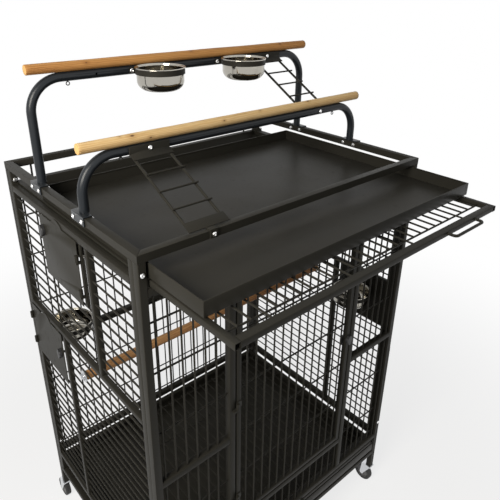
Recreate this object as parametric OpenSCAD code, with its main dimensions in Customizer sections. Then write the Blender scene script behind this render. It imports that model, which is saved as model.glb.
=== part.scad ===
// Play top bird cage: a barred cage on castors whose roof slides apart into a play tray
// and a grille, under two arches with wooden perches, ladders and feeding bowls.
// X runs left to right, Y front to back and Z up. The origin is on the floor, under the
// middle of the cage. A drop is a depth below the upper face of the top frame.

/* [Cage] */
// Outside width of the cage
cage_w = 1000; // [970:5:1040]
// Outside depth of the cage
cage_d = 764; // [756:2:800]
// Height of the top frame above the floor
frame_h = 1420; // [1400:5:1500]
// Side of the square tube of posts and rails
tube = 20; // [19.5:0.25:21]
// Side of the slim square tube of dividers, door and grilles
slim = 15; // [14:0.25:15.5]
// Wall of the square tubes
tube_wall = 1.2; // [1:0.1:2]
// Diameter of the bars
wire = 5; // [4:0.25:5.25]
// Distance from bar to bar
bar_pitch = 33.3; // [32.8:0.1:33.6]
// Paint gap between neighbouring pieces
seam = 0.2; // [0.1:0.05:0.3]

/* [Levels] */
// Drop of the side and rear rails under the roof slot
side_rail_drop = 65; // [62:1:66]
// Height of the rear rail under the roof slot
back_rail_h = 32; // [28:1:36]
// Gap between the roof grille and the front rail under it
sill_gap = 4; // [3:0.5:6]
// Drop of the first side bar below the side rail
first_bar_gap = 21.6; // [18:0.2:24]
// Drop of the side panels' divider rail
divider_drop = 462; // [455:1:468]
// Drop of the belt rail in the front and rear panels
belt_drop = 652; // [640:1:665]
// Drop of the joint between the upper and lower posts
post_joint_drop = 727; // [715:1:740]
// Height of the cage floor's rails above the room's floor
cage_floor_h = 275; // [265:5:290]
// Height of the floor slot between those rails and the base rails
floor_slot = 70; // [68:1:76]
// Drops of the cross wires above the belt rail
wire_drops = [128, 178, 317, 500]; // [120:1:520]

/* [Front door] */
// Distance between the centre posts
door_span = 486; // [470:2:500]
// Height of the doorway's lower end above the room's floor
sill_h = 415; // [400:5:460]
// Gap around the door
door_gap = 5; // [4:0.5:7]
// Drop of the door latch
door_latch_drop = 560; // [530:5:600]
// Distance of the outer door hinges from the ends of the door
door_hinge_inset = 90; // [80:5:110]

/* [Feeder doors] */
// Width of a feeder door
feeder_w = 229; // [225:1:234]
// Height of a feeder door
feeder_h = 187; // [186:1:188]
// Thickness of a feeder door
feeder_t = 2; // [1.5:0.25:2.5]
// Distance from the front face to the upper divider's middle
upper_divider = 250.5; // [246:0.5:256]
// Open slot between the upper divider and the feeder hinge
feeder_slot = 34; // [30:1:38]
// Distance of the finger tab's top above the door
finger_tab = 16; // [12:1:18]
// Depth of the bowl ring below the top of the door
feeder_ring_drop = 44; // [40:1:50]
// Distance of the bowl's middle from the panel's outer face
feeder_reach = 76; // [74:1:84]
// Depth of the upper feeder latch below the top of its door
upper_latch_drop = 45; // [40:1:50]
// Depth of the lower feeder latch below the top of its door
lower_latch_drop = 77; // [65:1:90]

/* [Hinges and latches] */
// Diameter of a hinge pin
pin_d = 5; // [4:0.5:5.5]
// Diameter of a hinge barrel
barrel_d = 10; // [9.5:0.5:11]
// Length of a hinge barrel
barrel_h = 18; // [14:1:24]
// Height of a hinge lug
lug_h = 6; // [5:0.5:8]
// Diameter of a latch shaft
latch_d = 8; // [7:0.5:9]
// Length of a latch handle
latch_handle = 34; // [30:1:38]
// Reach of a latch tongue
latch_tongue = 31; // [29:1:33]
// Radial play of pins and shafts in their holes
run_gap = 0.06; // [0.03:0.01:0.09]

/* [Roof tray and grille] */
// Height of the tray's walls
tray_h = 36; // [33:1:37]
// Thickness of the tray's sheet
tray_t = 0.8; // [0.6:0.1:1.2]
// Gap between the rear rails and the trays
tray_rear_gap = 2; // [1:0.5:20]
// How far the play tray is pulled out
tray_out = 184; // [150:2:200]
// How far the roof grille is pulled out
grille_out = 272; // [240:2:290]
// Gap above a tray in its slot
tray_gap = 4; // [3:0.5:5]
// Gap between a tray and the grille of the same slot
grille_gap = 6; // [5:0.5:6]
// Depth of the tube along a grille's front
grille_front = 20; // [18:0.5:22]
// Distance from the grille's front to its first cross wire
grille_wire_inset = 47; // [40:1:60]
// Distance of the grab handle's middle from the right end of the grille
handle_inset = 183.5; // [150:1:220]
// Length of the grab handle
handle_w = 145; // [120:1:160]
// Reach of the grab handle
handle_reach = 27; // [26:1:34]
// Diameter of the grab handle's rod
handle_rod = 8; // [7:0.5:9]
// Width of the runner channels
runner_w = 18; // [16:1:20]
// Sheet thickness of the runner channels
runner_t = 2; // [1.5:0.25:2.2]

/* [Play top] */
// Diameter of the arch tube
arch_d = 24; // [23:0.5:25]
// Wall of the arch tube
arch_wall = 1.5; // [1.2:0.1:2]
// Bend radius of the arch at its centre line
arch_bend = 85; // [70:1:90]
// Distance of the arch legs from the sides of the cage
leg_inset = 4; // [3:0.5:6]
// Height of the front arch above the frame
front_rise = 140; // [134:1:146]
// Height of the rear arch above the front one
rear_step = 140; // [134:1:146]
// Distance of the front arch behind the front face
front_arch_y = 262; // [258:1:266]
// Distance between the arches
arch_step = 252; // [249:1:255]
// Diameter of the play top's perches
perch_d = 28; // [26:0.5:30]
// Distances of a perch's ends from the sides of the cage
perch_inset = [15, 4]; // [2:1:20]
// Depth of the flat on the underside of a perch
perch_flat = 1; // [0.5:0.25:1.5]
// Width of a ladder
ladder_w = 112; // [100:1:124]
// Distance from the cage's side to a ladder's middle
ladder_x = 192; // [186:1:210]
// Diameter of the ladder's side rods
ladder_rod = 7; // [6:0.5:7.5]
// Distance from a ladder's top fold to its first rung
rung_first = 76; // [70:1:82]
// Distance from rung to rung
rung_step = 58; // [52:1:60]
// Distance of the toy hooks from the cage's side
hook_x = 120; // [116:1:126]
// Distance of the spare hook hole from the cage's side
spare_hole_x = 196; // [188:1:200]

/* [Bowls] */
// Diameter of a bowl's rim
bowl_rim_d = 138; // [134:1:138]
// Width of the rim outside the bowl's wall
bowl_lip = 4.5; // [4:0.25:5]
// Height of a play top bowl
play_bowl_h = 62; // [50:1:70]
// Height of a feeder bowl
feeder_bowl_h = 55; // [45:1:65]
// Wall of the bowls
bowl_t = 0.8; // [0.6:0.1:1.2]
// Height of the rings that hold the bowls
ring_h = 14; // [12:0.5:16]
// Thickness of those rings
ring_t = 2.5; // [2:0.25:3]
// Distances of the play top bowls to the right of the middle
play_bowl_x = [-153, 145]; // [-160:1:160]
// Distance of the bowl's rim in front of the rear arch's perch
bowl_clear = 1; // [0.8:0.1:2]

/* [Fasteners] */
// Diameter of the bolts
bolt_d = 6; // [5:0.5:6]
// Diameter of a bolt's domed head
bolt_head = 13; // [12:0.5:13.5]
// Play of a bolt in its hole
bolt_play = 0.6; // [0.4:0.1:1]
// Distance of an arch foot's bolts from the leg's middle
foot_bolt = 22; // [20:1:24]
// Drop of the upper bolts in the corner posts
upper_bolt_drop = 48; // [32:1:54]
// Height of the lower bolts in the corner posts above the cage floor
lower_bolt_rise = 56; // [50:1:70]

/* [Castors] */
// Diameter of a castor wheel
wheel_d = 75; // [65:1:80]
// Width of a castor wheel
wheel_w = 20; // [18:1:22]
// Distance of the wheel's axle behind the swivel
castor_trail = 24; // [18:1:28]
// Diameter of a castor's stem
stem_d = 8; // [7:0.5:9]

/* [Inner perch] */
// Diameter of the perch inside the cage
dowel_d = 30; // [28:1:34]
// Drop of that perch
dowel_drop = 557; // [545:1:570]

/* [Hidden] */
$fn = 48;

paint = "#33312e";
steel = "#c9ccd0";
wood = "#b98648";
rubber = "#222222";

half_w = cage_w / 2;
half_d = cage_d / 2;
tube_mid = tube / 2;
seat = 0.3;
post_x = half_w - tube_mid;
post_y = half_d - tube_mid;
stile_y = half_d - 1.5 * tube - seam;
panel_y = stile_y - tube_mid;

// Levels, as drops below the top frame
side_rail_end = side_rail_drop + tube;
tray_rim_drop = tube + tray_gap;
tray_base_drop = tray_rim_drop + tray_h;
grille_drop = tray_base_drop + grille_gap;
grille_base_drop = grille_drop + slim;
front_rail_drop = grille_base_drop + sill_gap;
front_rail_end = front_rail_drop + tube;
belt_end = belt_drop + tube;
apron_drop = frame_h - cage_floor_h;
apron_end = apron_drop + tube;
sill_drop = frame_h - sill_h;
floor_grille_drop = apron_end + sill_gap;
floor_tray_rim_drop = floor_grille_drop + slim + grille_gap;
base_rail_drop = apron_end + floor_slot;
base_rail_end = base_rail_drop + tube;

// Castors, from the floor up
socket_flange = 3;
socket_depth = 30;
crown_h = 5;
crown_gap = 11.7;
crown_z = wheel_d + crown_gap;
leg_end_z = crown_z + crown_h + seat + socket_flange;

// Trays and grilles between the runners
runner_web_x = half_w - tube - seam;
tray_half_w = runner_web_x - runner_t - 3.8;
tray_len = cage_d - tube - tray_rear_gap;

// Bars stand in one plane and the cross wires in the next
bar_in = tube_mid - (wire + seam) / 2;
cross_in = tube_mid + (wire + seam) / 2;

// Front door
centre_post_x = door_span / 2 + tube_mid;
door_half = door_span / 2 - door_gap;
door_top_drop = front_rail_end + door_gap;
door_end_drop = sill_drop - door_gap;
barrel_r = barrel_d / 2;
leaf_t = 2;
hinge_back = barrel_r - 1 + leaf_t;
door_axis_x = -door_span / 2 + door_gap / 2;
door_axis_y = -half_d - hinge_back - seam;

// Feeder doors of the left side, seen as distances from the front face
hinge_edge = 5;
plate_gap = 0.4;
upper_axis = upper_divider + slim / 2 + feeder_slot;
upper_catch = upper_axis + hinge_edge + feeder_w + 3;
lower_axis = cage_d - 1.25 * tube;
lower_divider = lower_axis - 2 * hinge_edge - feeder_w - slim / 2;
upper_plate_drop = side_rail_end - 2;
lower_plate_drop = divider_drop + slim + 1;
feeder_axis_x = -half_w - hinge_back - plate_gap;
bowl_r = bowl_rim_d / 2 - bowl_lip;
ring_r = bowl_r + ring_t + 0.5;
hinge_bar = [4, 12];

// Play top
front_arch_cy = front_arch_y - half_d;
rear_arch_cy = front_arch_cy + arch_step;
arch_r = arch_d / 2;
front_tube_z = frame_h + front_rise - arch_r;
rear_tube_z = front_tube_z + rear_step;
plate_t = 3;
foot_w = 2 * foot_bolt + 20;
foot_top = 2 * seam + plate_t;
bowl_ring_rise = 11;
bowl_ring_z = rear_tube_z + bowl_ring_rise;
bowl_ring_cy = rear_arch_cy - perch_d / 2 - bowl_clear - bowl_rim_d / 2;
bracket_bolt = 48;
bracket = [2 * bracket_bolt + 14, plate_t, 17];
eye_r = 4.5;
eye_rod = 2.5;
eye_shank = 4;

function down(drop) = frame_h - drop;
function laid(axis) = axis == "x" ? [0, 90, 0] : axis == "y" ? [-90, 0, 0] : [0, 0, 0];

// Positions of the upright bars that lie between two faces
function grid(from, to) =
    [for (k = [-16:16]) let (x = k * bar_pitch) if (x - wire > from + 1 && x + wire < to - 1) x];

// Drops of the level side bars that lie between two rails
function levels(from, to) =
    [for (k = [0:40]) let (d = side_bar(k)) if (d - wire > from && d + wire < to) d];
function side_bar(k) = side_rail_end + first_bar_gap + k * bar_pitch;

// Middle of the gap between side bars that a drop falls in
function side_gap(drop) = side_bar(floor((drop - side_bar(0)) / bar_pitch)) + bar_pitch / 2;

// Drops of the bolts in the corner posts
post_bolt_drops = [upper_bolt_drop, side_gap(apron_drop - lower_bolt_rise)];

// Cross wires above the belt rail, and their mirror image below it
upper_wires = [for (d = wire_drops) if (d > front_rail_end + wire) d];
lower_wires = [
    belt_end + belt_drop - wire_drops[3],
    belt_end + belt_drop - wire_drops[2],
    apron_drop - (wire_drops[0] - front_rail_end),
];
door_wires = [for (d = concat(upper_wires, [belt_drop + tube_mid], lower_wires))
    if (d > door_top_drop + slim + wire && d < door_end_drop - slim - wire) d];

module square_tube(axis, start, length, side) {
    translate(start) rotate(laid(axis)) linear_extrude(length) difference() {
        square(side, center = true);
        square(side - 2 * tube_wall, center = true);
    }
}

module rod(axis, start, length, d) {
    translate(start) rotate(laid(axis)) cylinder(d = d, h = length);
}

// A block given by two opposite corners
module block(low, high) {
    translate(low) cube(high - low);
}

// A tube along X, given by two opposite corners
module flat_tube(low, high) {
    wall = [-1, tube_wall, tube_wall];
    difference() {
        block(low, high);
        block(low + wall, high - wall);
    }
}

// Everything on the right side is the left side turned half round
module right_side() {
    rotate([0, 0, 180]) children();
}

module bolt_hole(axis, start, length) {
    rod(axis, start, length, bolt_d + bolt_play);
}

// A domed bolt whose head stands at z = 0 and whose shank runs up through the grip,
// with a hexagonal nut past it
module bolt(grip) {
    dome = 3.4;
    nut_h = 5;
    intersection() {
        translate([0, 0, 1 - dome + bolt_head / 2]) sphere(d = bolt_head + 1);
        translate([0, 0, -dome]) cylinder(d = bolt_head, h = dome);
    }
    translate([0, 0, -seam]) cylinder(d = bolt_d, h = grip + nut_h + 2);
    difference() {
        translate([0, 0, grip + seam]) cylinder(d = bolt_head, h = nut_h, $fn = 6);
        cylinder(d = bolt_d + seam, h = grip + 2 * nut_h);
    }
}

// Corner posts and base

module post_tube(x_side, y_side, from_drop, to_drop) {
    difference() {
        square_tube("z", [x_side * post_x, y_side * post_y, down(to_drop) + seam],
            to_drop - from_drop - 2 * seam, tube);
        for (drop = post_bolt_drops)
            bolt_hole("y", [x_side * post_x, y_side * post_y - tube, down(drop)], 2 * tube);
    }
}

module upper_post(x_side, y_side) {
    color(paint) post_tube(x_side, y_side, tube, post_joint_drop);
}

module base_rails() {
    z = down(base_rail_drop + tube_mid);
    inner_x = half_w - tube - seam;
    inner_y = half_d - tube - seam;
    for (side = [-1, 1]) {
        square_tube("x", [-inner_x, side * post_y, z], 2 * inner_x, tube);
        square_tube("y", [side * post_x, -inner_y, z], 2 * inner_y, tube);
    }
}

module base_frame() {
    color(paint) {
        for (x_side = [-1, 1], y_side = [-1, 1])
            post_tube(x_side, y_side, post_joint_drop, frame_h - leg_end_z);
        base_rails();
    }
}

// A rail of the top frame, cut at half a right angle at both ends
module mitred_rail(length) {
    intersection() {
        square_tube("x", [-length / 2, tube_mid, 0], length, tube);
        translate([0, 0, -tube]) linear_extrude(2 * tube) polygon([
            [-length / 2 + seam, 0], [length / 2 - seam, 0],
            [length / 2 - tube - seam, tube], [-length / 2 + tube + seam, tube],
        ]);
    }
}

module arch_foot_holes() {
    for (cy = [front_arch_cy, rear_arch_cy], shift = [-foot_bolt, foot_bolt])
        bolt_hole("x", [-half_w - tube, cy + shift, down(tube_mid)], 2 * cage_w);
}

module top_frame() {
    color(paint) difference() {
        translate([0, 0, down(tube_mid)]) {
            for (turn = [0, 180]) {
                rotate([0, 0, turn]) translate([0, -half_d, 0]) mitred_rail(cage_w);
                rotate([0, 0, turn + 90]) translate([0, -half_w, 0]) mitred_rail(cage_d);
            }
        }
        arch_foot_holes();
        bolt_hole("y", [-half_w + ladder_x, -half_d - tube, down(tube_mid)], 3 * tube);
    }
}

// Side panels, drawn for the left side

module side_frame() {
    x = -half_w + tube_mid;
    slim_x = -half_w + slim / 2;
    rail_len = 2 * (panel_y - seam);
    difference() {
        for (side = [-1, 1])
            square_tube("z", [x, side * stile_y, down(base_rail_drop) + seam],
                base_rail_drop - tube - 2 * seam, tube);
        for (drop = post_bolt_drops)
            bolt_hole("y", [x, -half_d, down(drop)], cage_d);
    }
    square_tube("y", [x, -panel_y + seam, down(side_rail_drop + tube_mid)], rail_len, tube);
    square_tube("y", [slim_x, -panel_y + seam, down(divider_drop + slim / 2)], rail_len, slim);
    square_tube("y", [x, -panel_y + seam, down(apron_drop + tube_mid)], rail_len, tube);
    square_tube("z", [slim_x, upper_divider - half_d, down(divider_drop) + seam],
        divider_drop - side_rail_end - 2 * seam, slim);
    square_tube("z", [slim_x, lower_divider - half_d, down(apron_drop) + seam],
        apron_drop - divider_drop - slim - 2 * seam, slim);
}

// One level bar between two distances from the front face
module side_rod(drop, from, to) {
    rod("y", [-half_w + bar_in, from - half_d + seam, down(drop)], to - from - 2 * seam, wire);
}

module side_bars() {
    front = half_d - panel_y;
    rear = cage_d - front;
    upper_hole_end = upper_plate_drop + feeder_h;
    lower_hole_end = lower_plate_drop + feeder_h;
    for (drop = levels(side_rail_end, divider_drop)) {
        side_rod(drop, front, upper_divider - slim / 2);
        side_rod(drop, drop < upper_hole_end ? upper_catch : upper_divider + slim / 2, rear);
    }
    for (drop = levels(divider_drop + slim, apron_drop)) {
        side_rod(drop, front, lower_divider - slim / 2);
        if (drop > lower_hole_end) side_rod(drop, lower_divider + slim / 2, rear);
    }
    rod("z", [-half_w + cross_in, upper_catch - half_d, down(divider_drop) + seam],
        divider_drop - side_rail_end - 2 * seam, wire);
}

module side_panel_left() { color(paint) side_frame(); }
module side_panel_right() { color(paint) right_side() side_frame(); }
module side_bars_left() { color(paint) side_bars(); }
module side_bars_right() { color(paint) right_side() side_bars(); }

// Upright bars and cross wires of a field, set in from the plane y by their bar planes
module bar_field(from_x, to_x, from_drop, to_drop, wires, y, inward) {
    for (x = grid(from_x, to_x))
        rod("z", [x, y + inward * bar_in, down(to_drop) + seam],
            to_drop - from_drop - 2 * seam, wire);
    for (drop = wires)
        rod("x", [from_x + seam, y + inward * cross_in, down(drop)],
            to_x - from_x - 2 * seam, wire);
}

// Rear panel

module back_panel() {
    inner_x = half_w - tube - seam;
    color(paint) {
        flat_tube([-inner_x, half_d - tube, down(side_rail_drop + back_rail_h)],
            [inner_x, half_d, down(side_rail_drop)]);
        for (drop = [belt_drop, apron_drop])
            square_tube("x", [-inner_x, post_y, down(drop + tube_mid)], 2 * inner_x, tube);
    }
}

module back_bars() {
    inner_x = half_w - tube;
    color(paint) {
        bar_field(-inner_x, inner_x, side_rail_drop + back_rail_h, belt_drop, upper_wires,
            half_d, -1);
        bar_field(-inner_x, inner_x, belt_end, apron_drop, lower_wires, half_d, -1);
    }
}

// Front panel

module front_panel() {
    inner_x = half_w - tube - seam;
    post_outer = door_span / 2 + tube;
    color(paint) {
        for (drop = [front_rail_drop, apron_drop])
            square_tube("x", [-inner_x, -post_y, down(drop + tube_mid)], 2 * inner_x, tube);
        for (side = [-1, 1])
            square_tube("z", [side * centre_post_x, -post_y, down(apron_drop) + seam],
                apron_drop - front_rail_end - 2 * seam, tube);
        for (x = [-inner_x, post_outer + seam])
            square_tube("x", [x, -post_y, down(belt_drop + tube_mid)],
                inner_x - post_outer - seam, tube);
        square_tube("x", [-door_span / 2 + seam, -post_y, down(sill_drop + tube_mid)],
            door_span - 2 * seam, tube);
    }
}

module front_bars() {
    inner_x = half_w - tube;
    post_outer = door_span / 2 + tube;
    color(paint) {
        for (span = [[-inner_x, -post_outer], [post_outer, inner_x]]) {
            bar_field(span[0], span[1], front_rail_end, belt_drop, upper_wires, -half_d, 1);
            bar_field(span[0], span[1], belt_end, apron_drop, lower_wires, -half_d, 1);
        }
        bar_field(-door_span / 2, door_span / 2, sill_drop + tube, apron_drop,
            [lower_wires[2]], -half_d, 1);
    }
}

// Runners, a web strip with two shelves a side, which carry a tray and a grille
module runner_channel(top_drop, low_drop) {
    x = -runner_web_x;
    front = -half_d + 1;
    rear = half_d - tube - 1;
    block([x, front, down(low_drop + runner_t)], [x + runner_t, rear, down(top_drop)]);
    for (drop = [top_drop, low_drop])
        block([x + runner_t + seam, front, down(drop + runner_t)],
            [x + runner_w, rear, down(drop)]);
}

module stop_rod(x) {
    rod("z", [x, post_y, down(side_rail_drop) + seam], side_rail_drop - tube - 2 * seam, 6);
}

module tray_runners() {
    stop_inset = 72;
    color(paint) {
        for (turn = [0, 1]) mirror([turn, 0, 0]) {
            runner_channel(tray_base_drop + seat, grille_base_drop + seat);
            runner_channel(floor_grille_drop + slim + seat, floor_tray_rim_drop + tray_h + seat);
            stop_rod(-half_w + stop_inset);
        }
    }
}

// Trays

// A folded sheet tray with a rolled rim, its front edge at y = 0 and its base at z = 0
module sheet_tray() {
    rim = [3, 4];
    difference() {
        block([-tray_half_w, 0, 0], [tray_half_w, tray_len, tray_h]);
        block([-tray_half_w + rim[0], rim[0], tray_t],
            [tray_half_w - rim[0], tray_len - rim[0], tray_h + 1]);
        block([-tray_half_w + tray_t, tray_t, tray_t],
            [tray_half_w - tray_t, tray_len - tray_t, tray_h - rim[1]]);
    }
}

module play_tray() {
    color(paint) translate([0, -half_d - tray_out, down(tray_base_drop)]) sheet_tray();
}

module floor_tray() {
    color(paint) translate([0, -half_d, down(floor_tray_rim_drop + tray_h)]) sheet_tray();
}

// Grilles

// A tube frame with long bars and cross wires, its front at y = 0 and its middle at z = 0
module grille() {
    half = tray_half_w;
    inner = half - slim - seam;
    bay = (tray_len - 2 * grille_wire_inset) / 4;
    overhang = 6;
    bars = grid(-inner, inner);
    for (side = [-1, 1]) square_tube("y", [side * (half - slim / 2), 0, 0], tray_len, slim);
    flat_tube([-inner, 0, -slim / 2], [inner, grille_front, slim / 2]);
    square_tube("x", [-inner, tray_len - slim / 2, 0], 2 * inner, slim);
    for (k = [0:4])
        rod("x", [-inner, grille_wire_inset + k * bay, -(wire + seam) / 2], 2 * inner, wire);
    for (k = [0:len(bars) - 1]) {
        long = (k + 5) % 7 == 0;
        start = long ? grille_front + seam : grille_wire_inset - overhang;
        end = tray_len - (long ? slim + seam : start);
        rod("y", [bars[k], start, (wire + seam) / 2], end - start, wire);
    }
}

// A bent rod handle that stands forward from y = 0, centred on x = 0
module bent_handle() {
    bend = 10;
    straight = handle_reach - bend - handle_rod / 2;
    leg_x = (handle_w - handle_rod) / 2;
    for (turn = [0, 1]) mirror([turn, 0, 0]) {
        translate([leg_x, -straight, 0]) rotate(laid("y"))
            cylinder(d = handle_rod, h = straight - seam);
        translate([leg_x - bend, -straight, 0]) rotate([0, 0, -90])
            rotate_extrude(angle = 90) translate([bend, 0]) circle(d = handle_rod);
    }
    rod("x", [-leg_x + bend, -straight - bend, 0], 2 * (leg_x - bend), handle_rod);
}

module place_grille(pulled, drop) {
    translate([0, -half_d - pulled, down(drop + slim / 2)]) children();
}

module roof_grille() {
    color(paint) place_grille(grille_out, grille_drop) grille();
}

module grille_handle() {
    color(paint) place_grille(grille_out, grille_drop)
        translate([tray_half_w - handle_inset, 0, 0]) bent_handle();
}

module floor_grille() {
    color(paint) place_grille(0, floor_grille_drop) {
        grille();
        bent_handle();
    }
}

// Hinges. The pin stands at the origin, the door lies towards +X and the cage towards +Y,
// and the barrel's lower end is at z = 0.

module hinge_barrel() {
    difference() {
        cylinder(d = barrel_d, h = barrel_h);
        translate([0, 0, -1]) cylinder(d = pin_d + 2 * run_gap, h = barrel_h + 2);
    }
}

module hinge_lug(arm_from, arm_to, back) {
    foot = -seat - lug_h;
    translate([0, 0, foot]) {
        cylinder(d = 0.8 * barrel_d, h = lug_h);
        cylinder(d = pin_d, h = lug_h + seat + barrel_h + 1);
    }
    block([arm_from, -0.4 * barrel_d, foot], [0, 0, -seat]);
    block([arm_from, -seam, foot], [arm_to, back, -seat]);
}

// Stations along the height of the front door and of a feeder door
door_hinges_z = [
    down(door_top_drop + door_hinge_inset),
    down((door_top_drop + door_end_drop) / 2),
    down(door_end_drop - door_hinge_inset),
];
feeder_hinge_inset = 35;
feeder_hinge_z = [feeder_hinge_inset, feeder_h - feeder_hinge_inset - barrel_h];

module door_hinges() {
    color(paint) for (z = door_hinges_z) translate([door_axis_x, door_axis_y, z])
        hinge_lug(-14, -door_gap / 2 - seam, hinge_back);
}

module feeder_hinge_side() {
    bar_x = -half_w + hinge_bar[0];
    upper_z = down(upper_plate_drop + feeder_h);
    lower_z = down(lower_plate_drop + feeder_h);
    first_bar_below = side_bar(ceil((upper_plate_drop + feeder_h - side_bar(0)) / bar_pitch));
    block([bar_x, upper_axis - half_d - hinge_bar[1] / 2, down(first_bar_below) + wire / 2 + seam],
        [bar_x + 4, upper_axis - half_d + hinge_bar[1] / 2, down(side_rail_end) - seam]);
    for (z = feeder_hinge_z) {
        translate([feeder_axis_x, upper_axis - half_d, upper_z + z]) mirror([1, 0, 0])
            rotate([0, 0, 90]) hinge_lug(-4, 4, hinge_back + plate_gap + hinge_bar[0] - seam);
        translate([feeder_axis_x, lower_axis - half_d, lower_z + z]) rotate([0, 0, -90])
            hinge_lug(-4, 4, hinge_back + plate_gap - seam);
    }
}

module feeder_hinges() {
    color(paint) {
        feeder_hinge_side();
        right_side() feeder_hinge_side();
    }
}

// Latches. The shaft runs from the handle in front of y = 0 to the tongue at the given depth.
module turn_latch(depth) {
    handle_t = 10;
    handle_w = 12;
    tongue_w = 10;
    tongue_t = 3;
    rotate([-90, 0, 0]) {
        translate([0, 0, -seat - handle_t]) linear_extrude(handle_t) {
            square([handle_w, latch_handle - handle_w], center = true);
            for (side = [-1, 1])
                translate([0, side * (latch_handle - handle_w) / 2]) circle(d = handle_w);
        }
        translate([0, 0, -seat - 1]) cylinder(d = latch_d, h = depth + tongue_t + seat + 1);
        translate([-tongue_w / 2, 0, depth])
            cube([tongue_w, latch_tongue, tongue_t]);
    }
}

module latch_hole(start_y, length) {
    translate([0, start_y, 0]) rotate(laid("y")) cylinder(d = latch_d + 2 * run_gap, h = length);
}

// Front door

door_latch_at = [door_half - slim / 2, -half_d, down(door_latch_drop)];

module door_tubes() {
    height = door_end_drop - door_top_drop;
    inner = door_half - slim - seam;
    mid_y = -half_d + slim / 2;
    for (side = [-1, 1])
        square_tube("z", [side * (door_half - slim / 2), mid_y, down(door_end_drop)], height, slim);
    for (drop = [door_top_drop + slim / 2, door_end_drop - slim / 2])
        square_tube("x", [-inner, mid_y, down(drop)], 2 * inner, slim);
}

module door_leaf() {
    hinge_barrel();
    block([0, hinge_back - leaf_t, 0], [door_gap / 2 + slim, hinge_back, barrel_h]);
}

module front_door() {
    color(paint) {
        difference() {
            door_tubes();
            translate(door_latch_at) latch_hole(-1, slim + 2);
        }
        for (z = door_hinges_z) translate([door_axis_x, door_axis_y, z]) door_leaf();
    }
}

module front_door_bars() {
    inner = door_half - slim;
    shift = (tube - slim) / 2;
    color(paint) bar_field(-inner, inner, door_top_drop + slim, door_end_drop - slim,
        door_wires, -half_d - shift, 1);
}

module door_latch() {
    color(paint) translate(door_latch_at) turn_latch(tube + seat + 0.2);
}

// Feeder doors. The pin is at x = 0, the door lies towards +X, the cage towards +Y and the
// door's lower edge is at z = 0.

feeder_mid = hinge_edge + feeder_w / 2;
feeder_latch_edge = 21;
latch_from_hinge = hinge_edge + feeder_w - feeder_latch_edge;
tongue_depth = slim + 1;

module feeder_plate() {
    tab_w = 66;
    translate([0, hinge_back, 0]) rotate([90, 0, 0]) linear_extrude(feeder_t) {
        translate([hinge_edge, 0]) square([feeder_w, feeder_h]);
        intersection() {
            translate([feeder_mid - tab_w / 2, feeder_h - 1]) square([tab_w, finger_tab + 1]);
            translate([feeder_mid, feeder_h + finger_tab - tab_w * 0.62]) circle(tab_w * 0.62);
        }
    }
}

module feeder_door(latch_drop) {
    ring_y = hinge_back + plate_gap + feeder_reach;
    ring_z = feeder_h - feeder_ring_drop - ring_h;
    strap_w = 24;
    difference() {
        feeder_plate();
        translate([latch_from_hinge, 0, feeder_h - latch_drop]) latch_hole(-1, hinge_back + 2);
    }
    for (z = feeder_hinge_z) translate([0, 0, z]) {
        hinge_barrel();
        block([0, hinge_back - feeder_t, 0], [hinge_edge + 1, hinge_back, barrel_h]);
    }
    difference() {
        union() {
            translate([feeder_mid, ring_y, ring_z]) cylinder(r = ring_r, h = ring_h);
            block([feeder_mid - strap_w / 2, hinge_back - 1, ring_z],
                [feeder_mid + strap_w / 2, ring_y - ring_r + 8, ring_z + ring_h]);
        }
        translate([feeder_mid, ring_y, ring_z - 1]) cylinder(r = ring_r - ring_t, h = ring_h + 2);
    }
}

// Puts a shape drawn for a feeder door on the left side
module at_upper_feeder() {
    translate([feeder_axis_x, upper_axis - half_d, down(upper_plate_drop + feeder_h)])
        mirror([1, 0, 0]) rotate([0, 0, 90]) children();
}

module at_lower_feeder() {
    translate([feeder_axis_x, lower_axis - half_d, down(lower_plate_drop + feeder_h)])
        rotate([0, 0, -90]) children();
}

module feeder_door_left_upper() { color(paint) at_upper_feeder() feeder_door(upper_latch_drop); }
module feeder_door_left_lower() { color(paint) at_lower_feeder() feeder_door(lower_latch_drop); }
module feeder_door_right_upper() {
    color(paint) right_side() at_upper_feeder() feeder_door(upper_latch_drop);
}
module feeder_door_right_lower() {
    color(paint) right_side() at_lower_feeder() feeder_door(lower_latch_drop);
}

module feeder_latch(latch_drop) {
    outer = hinge_back - feeder_t;
    translate([latch_from_hinge, outer, feeder_h - latch_drop])
        turn_latch(tongue_depth + plate_gap + feeder_t);
}

module feeder_latch_left_upper() { color(paint) at_upper_feeder() feeder_latch(upper_latch_drop); }
module feeder_latch_left_lower() { color(paint) at_lower_feeder() feeder_latch(lower_latch_drop); }
module feeder_latch_right_upper() {
    color(paint) right_side() at_upper_feeder() feeder_latch(upper_latch_drop);
}
module feeder_latch_right_lower() {
    color(paint) right_side() at_lower_feeder() feeder_latch(lower_latch_drop);
}

// Bowls

// A pressed bowl with a rolled rim whose underside is at z = 0
module bowl(height) {
    corner = 20;
    lip_d = 3.4;
    lip_r = bowl_rim_d / 2 - lip_d / 2;
    difference() {
        union() {
            rotate_extrude() bowl_section(bowl_r, height, corner);
            cylinder(r = lip_r, h = lip_d);
            rotate_extrude() translate([lip_r, lip_d / 2]) circle(d = lip_d);
        }
        translate([0, 0, bowl_t]) rotate_extrude()
            bowl_section(bowl_r - bowl_t, height - 0.01, corner - bowl_t);
        cylinder(r = bowl_r - bowl_t, h = 2 * lip_d);
    }
}

// Half of the section of a straight-sided cup with a round foot, from its top at y = 0 down
module bowl_section(radius, height, corner) {
    depth = height - 3.4;
    translate([0, -depth]) {
        square([radius - corner, depth]);
        translate([0, corner]) square([radius, depth - corner]);
        translate([radius - corner, corner]) circle(corner);
    }
}

module play_bowl(index) {
    color(steel) translate([play_bowl_x[index], bowl_ring_cy, bowl_ring_z + seat])
        bowl(play_bowl_h);
}

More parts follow.
